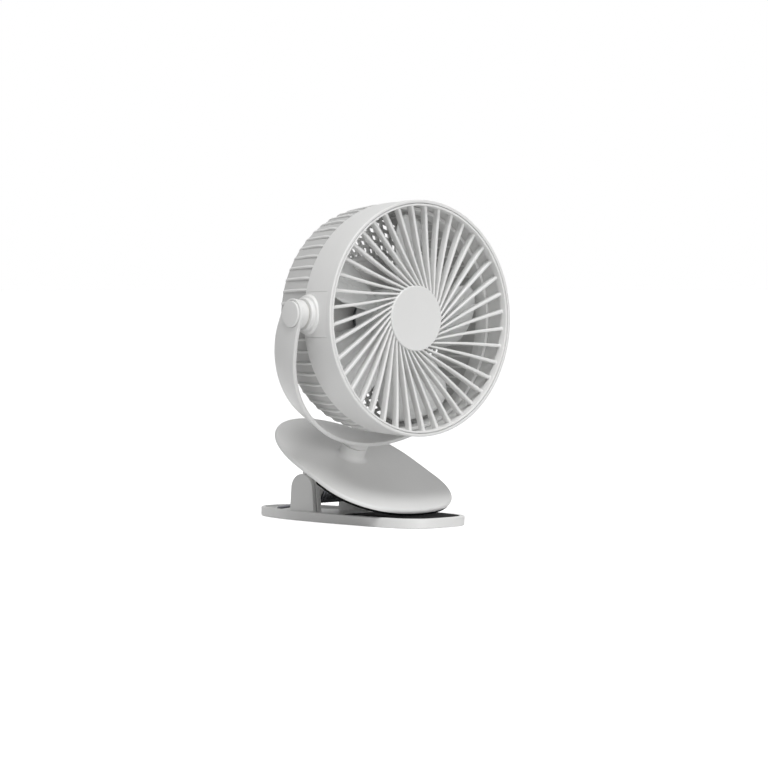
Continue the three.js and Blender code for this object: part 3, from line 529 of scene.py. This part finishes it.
tray_shape = egg_stack(foot, [(foot_height - tray_depth, rim), (foot_height + overcut, rim)])
behind = block((-200, -60, 0), (tray_end, 60, 20))  # wider and longer than the jaw
tray = meshed("tray", [tray_shape], in_base)
shaped(tray, "INTERSECT", in_base, [behind])
lower_jaw = meshed("lower_jaw_surface", [egg_stack(foot, edge_stack(0, foot_height, 0.9, 0.8))], in_base)
combined(lower_jaw, tray, "DIFFERENCE")
pocket = nose_end(narrowed(foot, rim), pad_start - gap, pad_corner)
pocket_shape = stacked(pocket, [(foot_height - pad_depth, 0), (foot_height + overcut, 0)])
shaped(lower_jaw, "DIFFERENCE", in_base, [pocket_shape])
for side in sides:
    for outer, thickness, edge in ears:
        edges = edge_stack(outer - thickness, outer, edge, edge, 4)
        shaped(lower_jaw, "UNION", in_base, [on_edge(ear_outline, edges, side)])
shaped(lower_jaw, "DIFFERENCE", in_base, [peg(-bore_end, bore_end, pin_hole, pin_place, 64)])
finished(lower_jaw, "lower_clip", white_abs, "lower_jaw")

# %% [markdown]
# ## The grip pads
#
# Each jaw has a pad of soft black rubber at its nose, so that the clip holds without marking a
# shelf. The lower pad lies in a shallow pocket, flush with the rim. The upper pad is glued under
# the plate and stops just short of its edge: it is the thin black line between the jaws.

# %% Two rubber pads
lower_pad = nose_end(narrowed(foot, rim + gap), pad_start, pad_corner)
lower_pad_edges = edge_stack(foot_height - pad_depth + gap, foot_height - 0.05, 0.2, 0.35)
piece("lower_jaw_pad", [stacked(lower_pad, lower_pad_edges)], "lower_clip", rubber)

plate = dict(widest=16, straight=22, nose=43, tail=62.7, half_width=52, nose_power=2.3, tail_power=2)
plate_top, plate_thickness = 28, 2.6
plate_under = plate_top - plate_thickness
upper_pad_start, upper_pad_thickness, upper_pad_inset = 30, 1.7, 0.7
upper_pad = nose_end(narrowed(plate, upper_pad_inset), upper_pad_start, pad_corner)
upper_pad_top = plate_under - 0.02
upper_pad_edges = edge_stack(upper_pad_top - upper_pad_thickness, upper_pad_top, 0.35, 0.1)
piece("upper_jaw_pad", [stacked(upper_pad, upper_pad_edges)], "upper_clip", rubber)

# %% [markdown]
# ## The upper jaw
#
# The upper jaw is a flat egg-shaped plate. The neck on top of it flares into the plate, because
# that is where a dropped fan breaks. Underneath are two ears on the hinge pin, each running into a
# rib that stiffens the plate.

# %% Upper jaw
neck = Sizes(at=8, radius=8.8, height=8.5, flare=3, boss_radius=9, boss_depth=2.4)
neck_top = plate_top + neck.height
neck_place = Matrix.Translation((neck.at, 0, 0)) @ to_z
spigot_radius = 5
jaw_ear = Sizes(outer=18.2, thickness=2.8, radius=8.5)
spring_seat = Sizes(inner=9.4, radius=6.6)
rib_low = plate_under - 2.4  # the ribs under the plate
ear_arc = [(jaw_ear.radius * cos(a), jaw_ear.radius * sin(a), 0) for a in spread(pi, 2 * pi, 24)]
jaw_ear_outline = rounded([
    (-40, plate_under + 1, 0), (-38, rib_low, 1), (-17, rib_low, 6),
    *ear_arc,
    (13.6, rib_low, 6), (26, rib_low, 1), (28, plate_under + 1, 0),
], 4)
jaw_ear_faces = [(jaw_ear.outer - jaw_ear.thickness, 0), (jaw_ear.outer, 0)]
jaw_ears = [on_edge(lambda inset: jaw_ear_outline, jaw_ear_faces, side) for side in sides]
flare_end = neck.radius + neck.flare + 4
neck_outline = rounded([
    (plate_under + 1, 0, 0), (plate_under + 1, flare_end, 0), (plate_top - 0.02, flare_end, 0),
    (plate_top + 0.02, neck.radius, neck.flare), (neck_top, neck.radius, 0.4),
    (neck_top, 0, 0),
], 10)
neck_boss = peg(plate_under - neck.boss_depth, plate_under + 1, neck.boss_radius, neck_place, 96)
neck_bore = peg(plate_under - 5, neck_top + 1, spigot_radius + gap, neck_place, 72)
seat_section = rod(spring_seat.inner, jaw_ear.outer - 1, spring_seat.radius, 0.5)
jaw_bore = peg(-jaw_ear.outer - 1, jaw_ear.outer + 1, pin_hole, to_y, 64)
plate_shape = egg_stack(plate, edge_stack(plate_under, plate_top, 0.5, 2.0, 7))
join = [turned(neck_outline, 96, neck_place), neck_boss, *jaw_ears, *on_both_sides(seat_section, 72)]
piece("upper_jaw", [plate_shape], "upper_clip", white_abs, join=join, cut=[neck_bore, jaw_bore])

# %% [markdown]
# ## The torsion spring
#
# The clip closes by a spring of black wire wound ten times round the hinge pin. One end lies on
# the tray and the other presses up under the plate. When the clip opens, the spring winds up along
# its whole length.

# %% Torsion spring
wire = Sizes(diameter=2.1, radius=8.7, pitch=2.62, turns=10)
legs = Sizes(lower=38, lower_drop=9, upper=41, upper_rise=22)
jaw_tilt = degrees(atan2(neck_axis.x, neck_axis.z))
WIRE_STEP, WIRE_SIDES = 0.9, 14


def spring_line():
    first = radians(legs.lower_drop - 90)
    last = radians(180 - legs.upper_rise - jaw_tilt) - pi / 2
    sweep = last - first + 2 * pi * wire.turns
    coil = sweep * wire.radius
    total = legs.lower + coil + legs.upper
    for along in spread(0, total, round(total / WIRE_STEP)):
        wound = min(max(along - legs.lower, 0), coil)
        past = along - legs.lower - wound
        angle = first + wound / wire.radius
        y = (wound / coil - 0.5) * sweep * wire.pitch / (2 * pi)
        x = pin.x + wire.radius * cos(angle) - past * sin(angle)
        yield Vector((x, y, pin.z + wire.radius * sin(angle) + past * cos(angle)))


def wire_shape(line, diameter):
    loops = []
    for i, (point, heading) in enumerate(zip(line, headings(line))):
        aside = sideways.cross(heading).normalized()
        up = heading.cross(aside)
        end = i in (0, len(line) - 1)
        radius = diameter / 2 * (0.7 if end else 1)
        turns = [2 * pi * k / WIRE_SIDES for k in range(WIRE_SIDES)]
        loops.append([point + radius * (cos(t) * aside + sin(t) * up) for t in turns])
    return lofted(loops)


spring = meshed("torsion_spring_surface", [wire_shape(list(spring_line()), wire.diameter)], in_base)
spring.data.materials.append(lightened_spring_wire)
spring.data.shade_smooth()
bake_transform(spring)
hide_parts("torsion_spring")
print("spring:", wire.turns, "turns of", wire.diameter, "mm wire")

# %% [markdown]
# ## The yoke
#
# The yoke is a strip of plastic bent into half a circle, with a round pad at each pivot. It is
# drawn by carrying a rounded rectangle along the strip. Its width follows a gentle curve near the
# pads, and above each pivot the pad's own circle. The collars inside the pads and the foot that
# turns in the neck are joined, and the recesses for the knobs are cut.

# %% Yoke
yoke = Sizes(inner=85.2, thickness=2.77, width=22.3, pad=9.75, taper=23.4, edge=0.6)
yoke_outer = yoke.inner + yoke.thickness
yoke_foot = -yoke.inner - 1  # where the foot runs into the strip
head_height = 100.9  # centre of the head above the plate
collar = Sizes(inner=80.6, outer=86, radius=9.2)
pivot_screw = Sizes(start=79, seat=83.3, head=4.2, shank=2.1)
pilot = Sizes(radius=1.8, depth=10)  # the swivel screw's hole
knob = Sizes(radius=8.45, proud=1.18, recess=1.2)


def half_width(height):
    """Half the width of the strip at a height above the pivots."""
    if height >= 0:
        return sqrt(max(yoke.pad**2 - height**2, 0))
    share = min(-height / yoke.taper, 1)
    blend = share * share * (3 - 2 * share)
    return yoke.pad + (yoke.width / 2 - yoke.pad) * blend


def strip_section(angle, rise=0):
    """The strip's section at an angle round the head, or at a height above a pivot."""
    outward = Vector((0, cos(angle), sin(angle)))
    spot = outward * yoke.inner + Vector((0, 0, rise))
    half = max(half_width(rise or yoke.inner * sin(angle)), 0.01)
    edge = min(yoke.edge, 0.9 * half)
    section = rectangle(-half, half, 0, yoke.thickness, edge, 3)
    return [Vector((x, 0, 0)) + spot + outward * depth for x, depth in section]


pad_heights = [yoke.pad * cos(a) for a in spread(0, pi / 2, 12)]
stations = [strip_section(pi, height) for height in pad_heights]
stations += [strip_section(angle) for angle in spread(pi, 2 * pi, 120)[1:-1]]
stations += [strip_section(2 * pi, height) for height in pad_heights[::-1]]

collar_section = rod(collar.outer, collar.inner, collar.radius, 0, 0.7)
post_section = rod(neck.height + gap - head_height, yoke_foot, neck.radius, 0.4)
spigot_end = -(plate_top + head_height - plate_under + neck.boss_depth + gap)
spigot = peg(spigot_end, yoke_foot, spigot_radius, to_z, 72)
recess_floor = yoke_outer - knob.recess
cuts = [
    *on_both_sides(rod(recess_floor, yoke_outer + overcut, knob.radius + gap), 96),
    *on_both_sides(rod(pivot_screw.seat, yoke_outer, pivot_screw.head)),
    *on_both_sides(rod(pivot_screw.start, yoke_outer, pivot_screw.shank)),
    peg(spigot_end - 1, spigot_end + pilot.depth, pilot.radius, to_z),
]
join = [*on_both_sides(collar_section, 72), turned(post_section, 96, to_z), spigot]
piece("yoke", [lofted(stations)], "yoke", white_abs, join=join, cut=cuts)

# %% [markdown]
# ## The pivot knobs
#
# A low round knob covers each pivot screw. It sits in a recess of the yoke's pad and stands a
# little over a millimetre proud, with a soft edge.

# %% Pivot knobs
knob_inner, knob_outer = recess_floor + gap, yoke_outer + knob.proud
knob_section = rounded([
    (knob_inner, 0, 0), (knob_inner, knob.radius, 0.2), (knob_outer, knob.radius, 0.8),
    (knob_outer + 0.01, 0, 0),
])
for name, side in (("pivot_cap_left", -1), ("pivot_cap_right", 1)):
    piece(name, [turned(knob_section, 96, to_side[side])], "yoke", trim_abs)

# %% [markdown]
# ## The drum band
#
# The band is the smooth shell round the front of the head. Its lip is rolled over with a radius of
# nearly two millimetres. At each pivot a panel of the band is a separate moulding that carries the
# boss, and the hairline gap round that panel is the only joint that shows. The band is spun like
# the rest, but at each pivot its section is squeezed forward into the lip, which leaves a window
# for the panel.

# %% Drum band
band = Sizes(
    rear=-2.65, front=24, rear_radius=74.9, front_radius=75.95, inner=72.9, lip_inner=73.9, ledge=17.6
)
panel = Sizes(front=19, half_height=14.3)
seam = 0.14  # the hairline gap round a panel


def band_radius(along):
    share = (along - band.rear) / (band.front - band.rear)
    return band.rear_radius + (band.front_radius - band.rear_radius) * share


band_outline = rounded([
    (band.rear, band.inner, 0.2), (band.rear, band.rear_radius, 0.35),
    (band.front, band.front_radius, 1.8), (band.front - 0.3, band.lip_inner, 0.3),
    (band.ledge, band.lip_inner, 0.1), (band.ledge, band.inner, 0.1),
], 7)


def squeezed(outline, front):
    """The part of the band's section in front of a window."""
    points = []
    for along, radius in outline:
        if along < front:
            outer = radius > band.lip_inner + 0.3
            radius = band_radius(front) if outer else band.lip_inner
            along = front
        points.append((along, radius))
    return points


def band_loops():
    window = squeezed(band_outline, panel.front + seam)
    edge = asin((panel.half_height + seam) / band.rear_radius)
    for middle in (0, pi):
        for start, end, outline in (
            (middle - edge, middle + edge, window),
            (middle + edge, middle + pi - edge, band_outline),
        ):
            steps = round(degrees(end - start) / 1.5)
            yield from spun(outline, spread(start, end, steps))


piece("drum_band", [lofted(list(band_loops()), ring=True)], "head", white_abs)

# %% [markdown]
# ## The pivot bosses
#
# Each panel carries a round boss in two steps, which the yoke's collar turns against. The wider
# step reaches back over the cage, so it is first cut to clear the ribs.

# %% Pivot bosses
panel_outline = rounded([
    (band.rear, band.inner, 0.2), (band.rear, band.rear_radius, 0.35),
    (panel.front, band_radius(panel.front), 0.15), (panel.front, band.lip_inner, 0),
    (band.ledge, band.lip_inner, 0), (band.ledge, band.inner, 0),
], 4)
boss_outline = rounded([
    (73.4, 0, 0), (73.4, 13, 0), (75, 12.6, 0.5), (76.5, 12, 0.7), (76.9, 10.5, 0.4),
    (79.4, 10.3, 0.5), (79.4, 0, 0),
], 6)
over_cage = turned([(-30, 0), (-30, 75.2), (band.rear, 75.2), (band.rear, 0)], 240)
panel_edge = asin(panel.half_height / band.rear_radius)
for name, side in (("pivot_boss_left", -1), ("pivot_boss_right", 1)):
    middle = 0 if side > 0 else pi
    panel_loops = spun(panel_outline, spread(middle - panel_edge, middle + panel_edge, 16))
    boss = meshed(name + "_surface", [turned(boss_outline, 96, to_side[side])], in_head)
    shaped(boss, "DIFFERENCE", in_head, [over_cage])
    shaped(boss, "UNION", in_head, [lofted(panel_loops)])
    shaped(boss, "DIFFERENCE", in_head, [peg(70, 81, pivot_screw.shank, to_side[side])])
    finished(boss, "head", white_abs, name)

# %% [markdown]
# ## The front grille
#
# Forty fins run from the hub to the ring. They leave the hub almost sideways and straighten
# towards the rim, like water in a drain. Their angle follows a power of the radius, which gives
# that curl with two numbers. A fin is twice as wide at the rim as at the hub, and its front edge
# is rounded.

# %% Front grille
grille_ring = Sizes(outer=73.6, inner=72.2, rear=17.9, front=23.5)
hub_plate = Sizes(radius=21.3, rear=12.3, front=14.9)
fins = Sizes(count=40, phase=0.48, depth=5, start=21, stations=22)
hub_end = Sizes(width=1.2, front=17.5)
rim_end = Sizes(width=2.4, front=20.5)
swirl = Sizes(turn=30.3, start=26, power=1.4)


def fin(index):
    inner, outer = hub_plate.radius - 0.7, band.inner - 0.4
    loops = []
    for way in spread(0, 1, fins.stations - 1):
        radius = inner * (outer / inner) ** way
        share = (radius - fins.start) / (outer - fins.start)
        front = hub_end.front + (rim_end.front - hub_end.front) * share
        rear = front - fins.depth
        half = (hub_end.width + (rim_end.width - hub_end.width) * share) / 2
        pull = (swirl.start / radius) ** swirl.power
        lean = radians(swirl.turn) * swirl.power * pull
        angle = radians(fins.phase + 360 / fins.count * index + swirl.turn * (1 - pull))
        wide = half * hypot(1, lean)
        section = rounded([
            (front, -wide, 0.75 * half), (front, wide, 0.75 * half),
            (rear, 0.8 * wide, 0.25 * half), (rear, -0.8 * wide, 0.25 * half),
        ], 3)
        loops.append([about_x(along, radius, angle + aside / radius) for along, aside in section])
    return lofted(loops)


ring_outline = rounded([
    (grille_ring.rear, grille_ring.inner, 0.2), (grille_ring.rear, grille_ring.outer, 0.2),
    (grille_ring.front, grille_ring.outer, 0.45), (grille_ring.front, grille_ring.inner, 0.45),
])
plate_section = rod(hub_plate.rear, hub_plate.front, hub_plate.radius, 0.4, 0.3)
grille_shapes = [turned(ring_outline, 192), turned(plate_section, 96)]
grille_shapes += [fin(i) for i in range(fins.count)]
piece("front_grille", grille_shapes, "head", cage_abs)

# %% [markdown]
# ## The front cap
#
# The plain disc in the middle hides the hub plate. Its face is slightly dished, less than a
# millimetre over forty, which turns a flat grey into a gradient.

# %% Front cap
cap = Sizes(radius=21, rear=hub_plate.front + gap, rim=18.6, dish=0.8, edge=0.7)
cap_outline = rounded([
    (cap.rear, 0, 0), (cap.rear, cap.radius, 0.2), (cap.rim, cap.radius, cap.edge),
    *[(cap.rim - cap.dish * (1 - share**2), cap.radius * share, 0) for share in spread(1, 0, 14)[1:]],
], 7)
piece("front_cap", [turned(cap_outline, 128)], "head", trim_abs)

# %% [markdown]
# ## The rear cage
#
# Fifty-eight ribs run back from the band, turn the corner and curl in to the pod, and thin rings
# tie them together on the back. All ribs follow one path of radius against place along the head,
# and on the back they also turn about the axis. A thin wall closes the side between the ribs,
# about a millimetre below their faces. Its greyer colour is painted shade, for the ribs' shade on it.

# %% Rear cage
cage = Sizes(ribs=58, width=1.8, depth=3, swirl=18.62, corner=69.6)
pod_radius = 38
rings = Sizes(first=43, pitch=4.5, count=6, width=2.1, front=-36.4, rear=-37.8)
rib_path = rounded([(-4, 73.7, 0), (-11, 74.5, 30), (-38.5, 71.3, 12), (-38.6, 39.5, 0)], 14)


def rib_line():
    """Even points along a rib, each with its outward direction."""
    line = [Vector(point) for point in rib_path[:-1]]
    line += [line[-1].lerp(Vector(rib_path[-1]), share) for share in spread(0, 1, 12)[1:]]
    return [(point, Vector((heading.y, -heading.x))) for point, heading in zip(line, headings(line))]


def rib(index):
    loops = []
    swirl_angle, reach, depth = radians(cage.swirl), cage.corner - pod_radius, cage.depth
    for point, outward in rib_line():
        curl = max(0, cage.corner - point.y) / reach
        angle = 2 * pi * index / cage.ribs - swirl_angle * curl
        lean = point.y * swirl_angle / reach if curl else 0
        half = cage.width / 2 * hypot(1, lean)
        section = rounded([
            (0, -half, 0.7), (0, half, 0.7), (-depth, 0.75 * half, 0.2), (-depth, -0.75 * half, 0.2),
        ], 3)
        spots = [(point + outward * deep, aside) for deep, aside in section]
        loops.append([about_x(spot.x, spot.y, angle + aside / spot.y) for spot, aside in spots])
    return lofted(loops)


def cage_ring(radius):
    half = rings.width / 2
    return turned(rectangle(rings.rear, rings.front, radius - half, radius + half, 0.35, 3), 174)


cage_base = rounded([
    (6, 70.4, 0.3), (6, 72.6, 0.3), (-2.95, 72.6, 0), (-2.95, 74.2, 0.3), (-4.85, 74.2, 0.4),
    (-4.85, 70.4, 0.3),
], 3)
pod_seat = rounded([(-34.9, 38.3, 0.3), (-34.9, 41, 0.3), (-38.9, 41, 0.5), (-38.9, 38.3, 0.3)], 3)
cage_shapes = [turned(cage_base, 192), turned(pod_seat, 128)]
cage_shapes += [cage_ring(rings.first + rings.pitch * i) for i in range(rings.count)]
cage_shapes += [rib(i) for i in range(cage.ribs)]
piece("rear_cage", cage_shapes, "head", cage_abs)

# %% The wall between the ribs
cage_wall = rounded([
    (-4.5, 70.9, 0), (-4.5, 72.4, 0), (-11, 73, 30), (-32, 71.2, 8), (-36.3, 67.5, 0.5),
    (-35.3, 66.7, 0.5), (-31.5, 69.8, 6), (-11, 71.5, 30),
], 6)
# The wall is painted greyer than the ribs: painted shade between them.
finished(meshed("rear_cage_wall", [turned(cage_wall, 232)], in_head), "head", painted_shade_wall_abs, "rear_cage")

# %% [markdown]
# ## The pod
#
# The pod on the back holds the motor, the cell and the board. Its shell sits in the cage with a
# flange, and a cover closes it. The cover has a slot for the charging plug, a round button, a
# small window for the charge light and three screws in flat-bottomed holes. It is spun first, and
# then the openings are cut.

# %% Pod shell
shell_outline = rounded([
    (-30, 13.3, 0.3), (-30, 38, 1.2), (-32.6, 38, 0), (-32.6, 40.6, 0.4), (-34.6, 40.6, 0.2),
    (-34.6, 38, 0), (-55, 38, 0.3), (-55, 36, 0.3), (-32, 36, 1), (-32, 13.3, 0.3),
], 4)
screw_circle = 31
screw_angles = [radians(a) for a in (90, 210, 330)]
screw_places = [(screw_circle * cos(a), screw_circle * sin(a)) for a in screw_angles]
cover_screw = Sizes(seat=1.1, head=2.6, head_height=1.3, shank=1.2, length=9, post=3.6)
posts = [peg(-55, -31, cover_screw.post, at(y, z)) for y, z in screw_places]
pilots = [peg(-56, -46, cover_screw.shank + gap, at(y, z)) for y, z in screw_places]
piece("rear_housing", [turned(shell_outline, 160)], "head", white_abs, join=posts, cut=pilots)

# %% Pod cover
cover = Sizes(front=-55.3, rear=-58.4, radius=38, edge=2.2)
button = Sizes(radius=5, height=-17, proud=0.8)
lens = Sizes(radius=1.5, flange=2.2, aside=11)
charge_slot = Sizes(width=9.6, height=3.8, middle=-7.1)
cover_outline = rounded([
    (cover.front, 0, 0), (cover.front, 34, 0), (cover.front + 1.7, 34, 0.2),
    (cover.front + 1.7, 35.7, 0.2), (cover.front, 35.7, 0), (cover.front, cover.radius, 0.3),
    (cover.rear + 0.4, cover.radius, cover.edge), (cover.rear, 0, 0),
], 7)


def oval(from_, to, width, height):
    """A slot-shaped solid at the height of the charging socket."""
    half, tall, middle = width / 2, height / 2, charge_slot.middle
    outline = rectangle(-half, half, middle - tall, middle + tall, 0.98 * tall, 8)
    return lofted([[(x, y, z) for y, z in outline] for x in (from_, to)])


through = (cover.rear - 1, cover.front + 3)
head_hole = (cover.rear - 1, cover.front - cover_screw.seat, cover_screw.head + gap)
shank_hole = (cover.rear - 1, cover.front + 1, cover_screw.shank + gap)
cover_cuts = [
    peg(*through, button.radius + gap, at(0, button.height), 96),
    peg(*through, lens.radius + gap, at(lens.aside, button.height)),
    oval(*through, charge_slot.width, charge_slot.height),
    *[peg(*head_hole, at(y, z)) for y, z in screw_places],
    *[peg(*shank_hole, at(y, z)) for y, z in screw_places],
]
piece("rear_cover", [turned(cover_outline, 160)], "head", white_abs, cut=cover_cuts)

# %% Button, window and charging socket
button_rear = cover.rear - button.proud
button_outline = rounded([
    (-54.2, 0, 0), (-54.2, 6.3, 0.1), (-55, 6.3, 0.1), (-55, button.radius, 0),
    (button_rear, button.radius, 0.6), (button_rear + 0.3, 3.2, 0.6), (button_rear + 0.35, 0, 0),
])
piece("power_button", [turned(button_outline, 96, at(0, button.height))], "button", trim_abs)
lens_outline = rounded([
    (-54.4, 0, 0), (-54.4, lens.flange, 0.1), (-55, lens.flange, 0),
    (-55, lens.radius, 0), (cover.rear, lens.radius, 0.15), (cover.rear, 0, 0),
], 3)
piece("indicator_lens", [turned(lens_outline, 48, at(lens.aside, button.height))], "head", window)
socket = meshed("usb_socket_surface", [oval(cover.rear + 0.3, cover.rear + 8.1, 9, 3.2)], in_head)
shaped(socket, "DIFFERENCE", in_head, [oval(cover.rear - 1, cover.rear + 6.8, 8.3, 2.5)])
shaped(socket, "UNION", in_head, [oval(cover.rear + 0.9, cover.rear + 7.3, 6.1, 0.7)])
finished(socket, "head", zinc, "usb_socket")

# %% Cover screws with a cross recess
seat = cover.front - cover_screw.seat - gap
screw_outline = rounded([
    (seat - cover_screw.head_height, 0, 0),
    (seat - cover_screw.head_height, cover_screw.head, 0.6),
    (seat, cover_screw.head, 0.1), (seat, cover_screw.shank, 0),
    (seat + cover_screw.length, cover_screw.shank, 0.4), (seat + cover_screw.length, 0, 0),
])
arm, groove = 1.5, 0.28  # half the length and half the width of the cross
for i, (y, z) in enumerate(screw_places):
    cross = [
        block((seat - 2, y - half_y, z - half_z), (seat - 0.5, y + half_y, z + half_z))
        for half_y, half_z in ((arm, groove), (groove, arm))
    ]
    piece(f"cover_screw_{i + 1}", [turned(screw_outline, 48, at(y, z))], "head", zinc, cut=cross)

# %% [markdown]
# ## The impeller
#
# Five broad blades stand on a cup-shaped hub. A blade is steep near the hub, where it moves
# slowly, and flatter at the tip. Its chord grows outwards and then rounds off. Smooth curves join
# the four numbers of each station, and the blade's edges are thinned and rounded.

# %% Impeller
blade = Sizes(count=5, phase=3.5, middle=-7, thickness=1.5)
# radius, chord, slant in degrees, hollow
blade_stations = [
    (18.7, 23, 46, 2.4), (27, 30, 41, 3.0), (38, 39, 35, 3.6), (50, 46, 30, 3.8),
    (60, 46, 27, 3.4), (65.5, 38, 26, 2.6), (67.8, 27, 26, 1.6),
]


def between(a, b, c, d, t):
    """A Catmull-Rom curve from b to c, with a before it and d after it."""
    bend = (2 * a - 5 * b + 4 * c - d) * t**2 + (3 * b - a - 3 * c + d) * t**3
    return 0.5 * (2 * b + (c - a) * t + bend)


def smooth_stations(stations, steps):
    rows = [stations[0], *stations, stations[-1]]
    out = []
    for four in zip(rows, rows[1:], rows[2:], rows[3:]):
        out += [tuple(between(*column, k / steps) for column in zip(*four)) for k in range(steps)]
    return out + [stations[-1]]


def blade_shape(index):
    start = radians(blade.phase + 360 / blade.count * index)
    loops = []
    places_along = [0.5 * sin(angle) for angle in spread(-pi / 2, pi / 2, 14)]
    edges = [(1, place) for place in places_along] + [(-1, place) for place in places_along[-2:0:-1]]
    for radius, chord, slant, hollow in smooth_stations(blade_stations, 4):
        rise, run = sin(radians(slant)), cos(radians(slant))
        loop = []
        for face, place in edges:
            thin = sqrt(max(1 - (2 * place) ** 8, 0)) * blade.thickness / 2
            lift = hollow * (1 - 4 * place * place) + face * thin
            around = place * chord * run - lift * rise
            along = place * chord * rise + lift * run
            loop.append(about_x(blade.middle + along, radius, start + around / radius))
        loops.append(loop)
    return lofted(loops)


impeller_hub = rounded([
    (10.2, 1.3, 0.2), (10.2, 19.5, 5), (-20, 19.5, 0.3), (-20, 17.6, 0.3), (0, 17.6, 2),
    (0, 4.5, 1), (-7, 4.5, 0.3), (-7, 1.3, 0.2),
], 6)
blade_shapes = [blade_shape(i) for i in range(blade.count)]
piece("impeller", [turned(impeller_hub, 128), *blade_shapes], "impeller", blade_abs)

# %% [markdown]
# ## Small turned parts
#
# The hinge pin, the cover under the neck, the shaft and the motor's can are plain turned parts,
# drawn finer here because a corner of each can be seen past the jaws or through the grille.

# %% Hinge pin, neck cover, shaft and motor can
pin_end = bore_end - gap
pin_section = rod(-pin_end, pin_end, pin_radius, 0.4, 0.4, 4)
piece("hinge_pin", [turned(pin_section, 48, pin_place)], "lower_clip", zinc)
cover_top = plate_under - gap
neck_cover_outline = rounded([
    (cover_top - 7.8, 0, 0), (cover_top - 7.8, 11, 1), (cover_top, 11, 0.2),
    (cover_top, 9.3, 0.2), (cover_top - 6.3, 9.3, 0.3), (cover_top - 6.3, 0, 0),
])
piece("neck_cover", [turned(neck_cover_outline, 96, neck_place)], "upper_clip", white_abs)
piece("motor_shaft", [turned(rod(-15, 9.5, 1, 0.2, 0.3, 3), 32)], "impeller", zinc)
can_outline = rounded([
    (-33.5, 0, 0), (-33.5, 13, 1), (-10, 13, 1), (-10, 3.5, 0.3), (-8.8, 3.5, 0.3),
    (-8.8, 1.3, 0.1), (-17, 1.3, 0), (-17, 0, 0),
])
piece("motor_can", [turned(can_outline, 96)], "head", zinc)

# %% [markdown]
# ## Finishes of the parts that stay
#
# The rest of the frame's nodes are hidden or already fine enough, and only get their finish.

# %% Finishes for the frame's own nodes
kept = {
    zinc: ["swivel_washer", "swivel_screw", "pivot_screw_left", "pivot_screw_right"],
    nylon: ["friction_washer_left", "friction_washer_right"],
    shrink_wrap: ["battery_cell"],
    solder_mask: ["circuit_board"],
    switch_body: ["push_switch"],
}
for material, names in kept.items():
    for name in names:
        for slot in frame["nodes"][name].material_slots:
            slot.link = "OBJECT"
            slot.material = material
print("kept:", sum(len(names) for names in kept.values()), "nodes")

# %% [markdown]
# ## Floor and background
#
# The fan stands on a plain white floor that runs into a white background without a line. Both
# are at their whitest only to the camera and in reflections, so that they don't flood the fan
# with light. The floor still takes the fan's shadow.

# %% Floor
def seen_directly(tree):
    """One for the camera's rays, in reflections and through clear parts, and nought for the rest."""
    ray = add_node(tree, "ShaderNodeLightPath").outputs
    seen = ray["Is Camera Ray"]
    for other in ("Is Glossy Ray", "Is Transmission Ray"):
        seen = add_node(tree, "ShaderNodeMath", {0: seen, 1: ray[other]}, operation="MAXIMUM").outputs[0]
    return seen


FLOOR_GLOW = 0.9
bpy.ops.mesh.primitive_plane_add(size=30, location=(0, 0, -0.0003))
floor = bpy.context.object
floor.name = "floor"
floor_paper, tree, shader = new_material("matt white paper")
shader.inputs["Base Color"].default_value = linear("#EDEDED")
shader.inputs["Roughness"].default_value = 0.9
shader.inputs["Specular IOR Level"].default_value = 0.1
shader.inputs["Emission Color"].default_value = linear("#FFFFFF")
glow = add_node(tree, "ShaderNodeMath", {0: seen_directly(tree)}, {1: FLOOR_GLOW}, operation="MULTIPLY")
tree.links.new(glow.outputs[0], shader.inputs["Emission Strength"])
floor.data.materials.append(floor_paper)

# %% Background
AMBIENT = 0.22
world = bpy.data.worlds.new("white studio")
world.use_nodes = True
bpy.context.scene.world = world
tree = world.node_tree
levels = {"To Min": AMBIENT, "To Max": 1.0}
strength = add_node(tree, "ShaderNodeMapRange", {"Value": seen_directly(tree)}, levels)
background = tree.nodes["Background"]
background.inputs["Color"].default_value = linear("#FFFFFF")
tree.links.new(strength.outputs["Result"], background.inputs["Strength"])

# %% [markdown]
# ## Light
#
# The picture has one large soft light high above the fan, on the camera's side, and a weaker one
# low in front of the fan, to the right of the camera, which reaches in through the grille. The
# size of a light is what softens its shadows: a metre across at two metres is a large window.

# %% Area lights
AIM = Vector((0.02, 0, 0.11))


def area_light(name, direction, distance, size, power):
    data = bpy.data.lights.new(name, "AREA")
    data.shape = "DISK"
    data.size = size
    data.energy = power
    light = bpy.data.objects.new(name, data)
    light.location = AIM + Vector(direction).normalized() * distance
    light.rotation_euler = (AIM - light.location).to_track_quat("-Z", "Y").to_euler()
    bpy.context.scene.collection.objects.link(light)


area_light("key_window", (0.36, -0.32, 0.88), 2.0, 1.0, 24)
area_light("front_fill", (0.94, -0.32, 0.08), 2.2, 1.2, 14)

# %% [markdown]
# ## Camera
#
# The camera looks along the diagonal of the clip from just below the middle of the head, about two
# metres away, through a long lens.

# %% Camera
camera_at = Vector((1.5607, -1.5211, 0.1672))
camera_heading = Vector((-0.70984, 0.70348, -0.03559))
camera_angle = 13.145

camera_data = bpy.data.cameras.new("photo_view")
camera_data.sensor_fit = "HORIZONTAL"
camera_data.angle = radians(camera_angle)
camera = bpy.data.objects.new("photo_view", camera_data)
camera.location = camera_at
camera.rotation_euler = camera_heading.to_track_quat("-Z", "Y").to_euler()
bpy.context.scene.collection.objects.link(camera)
bpy.context.scene.camera = camera
bpy.context.scene.view_settings.view_transform = "Standard"
print("camera:", round(camera_at.length, 3), "m away, angle", camera_angle, "degrees")
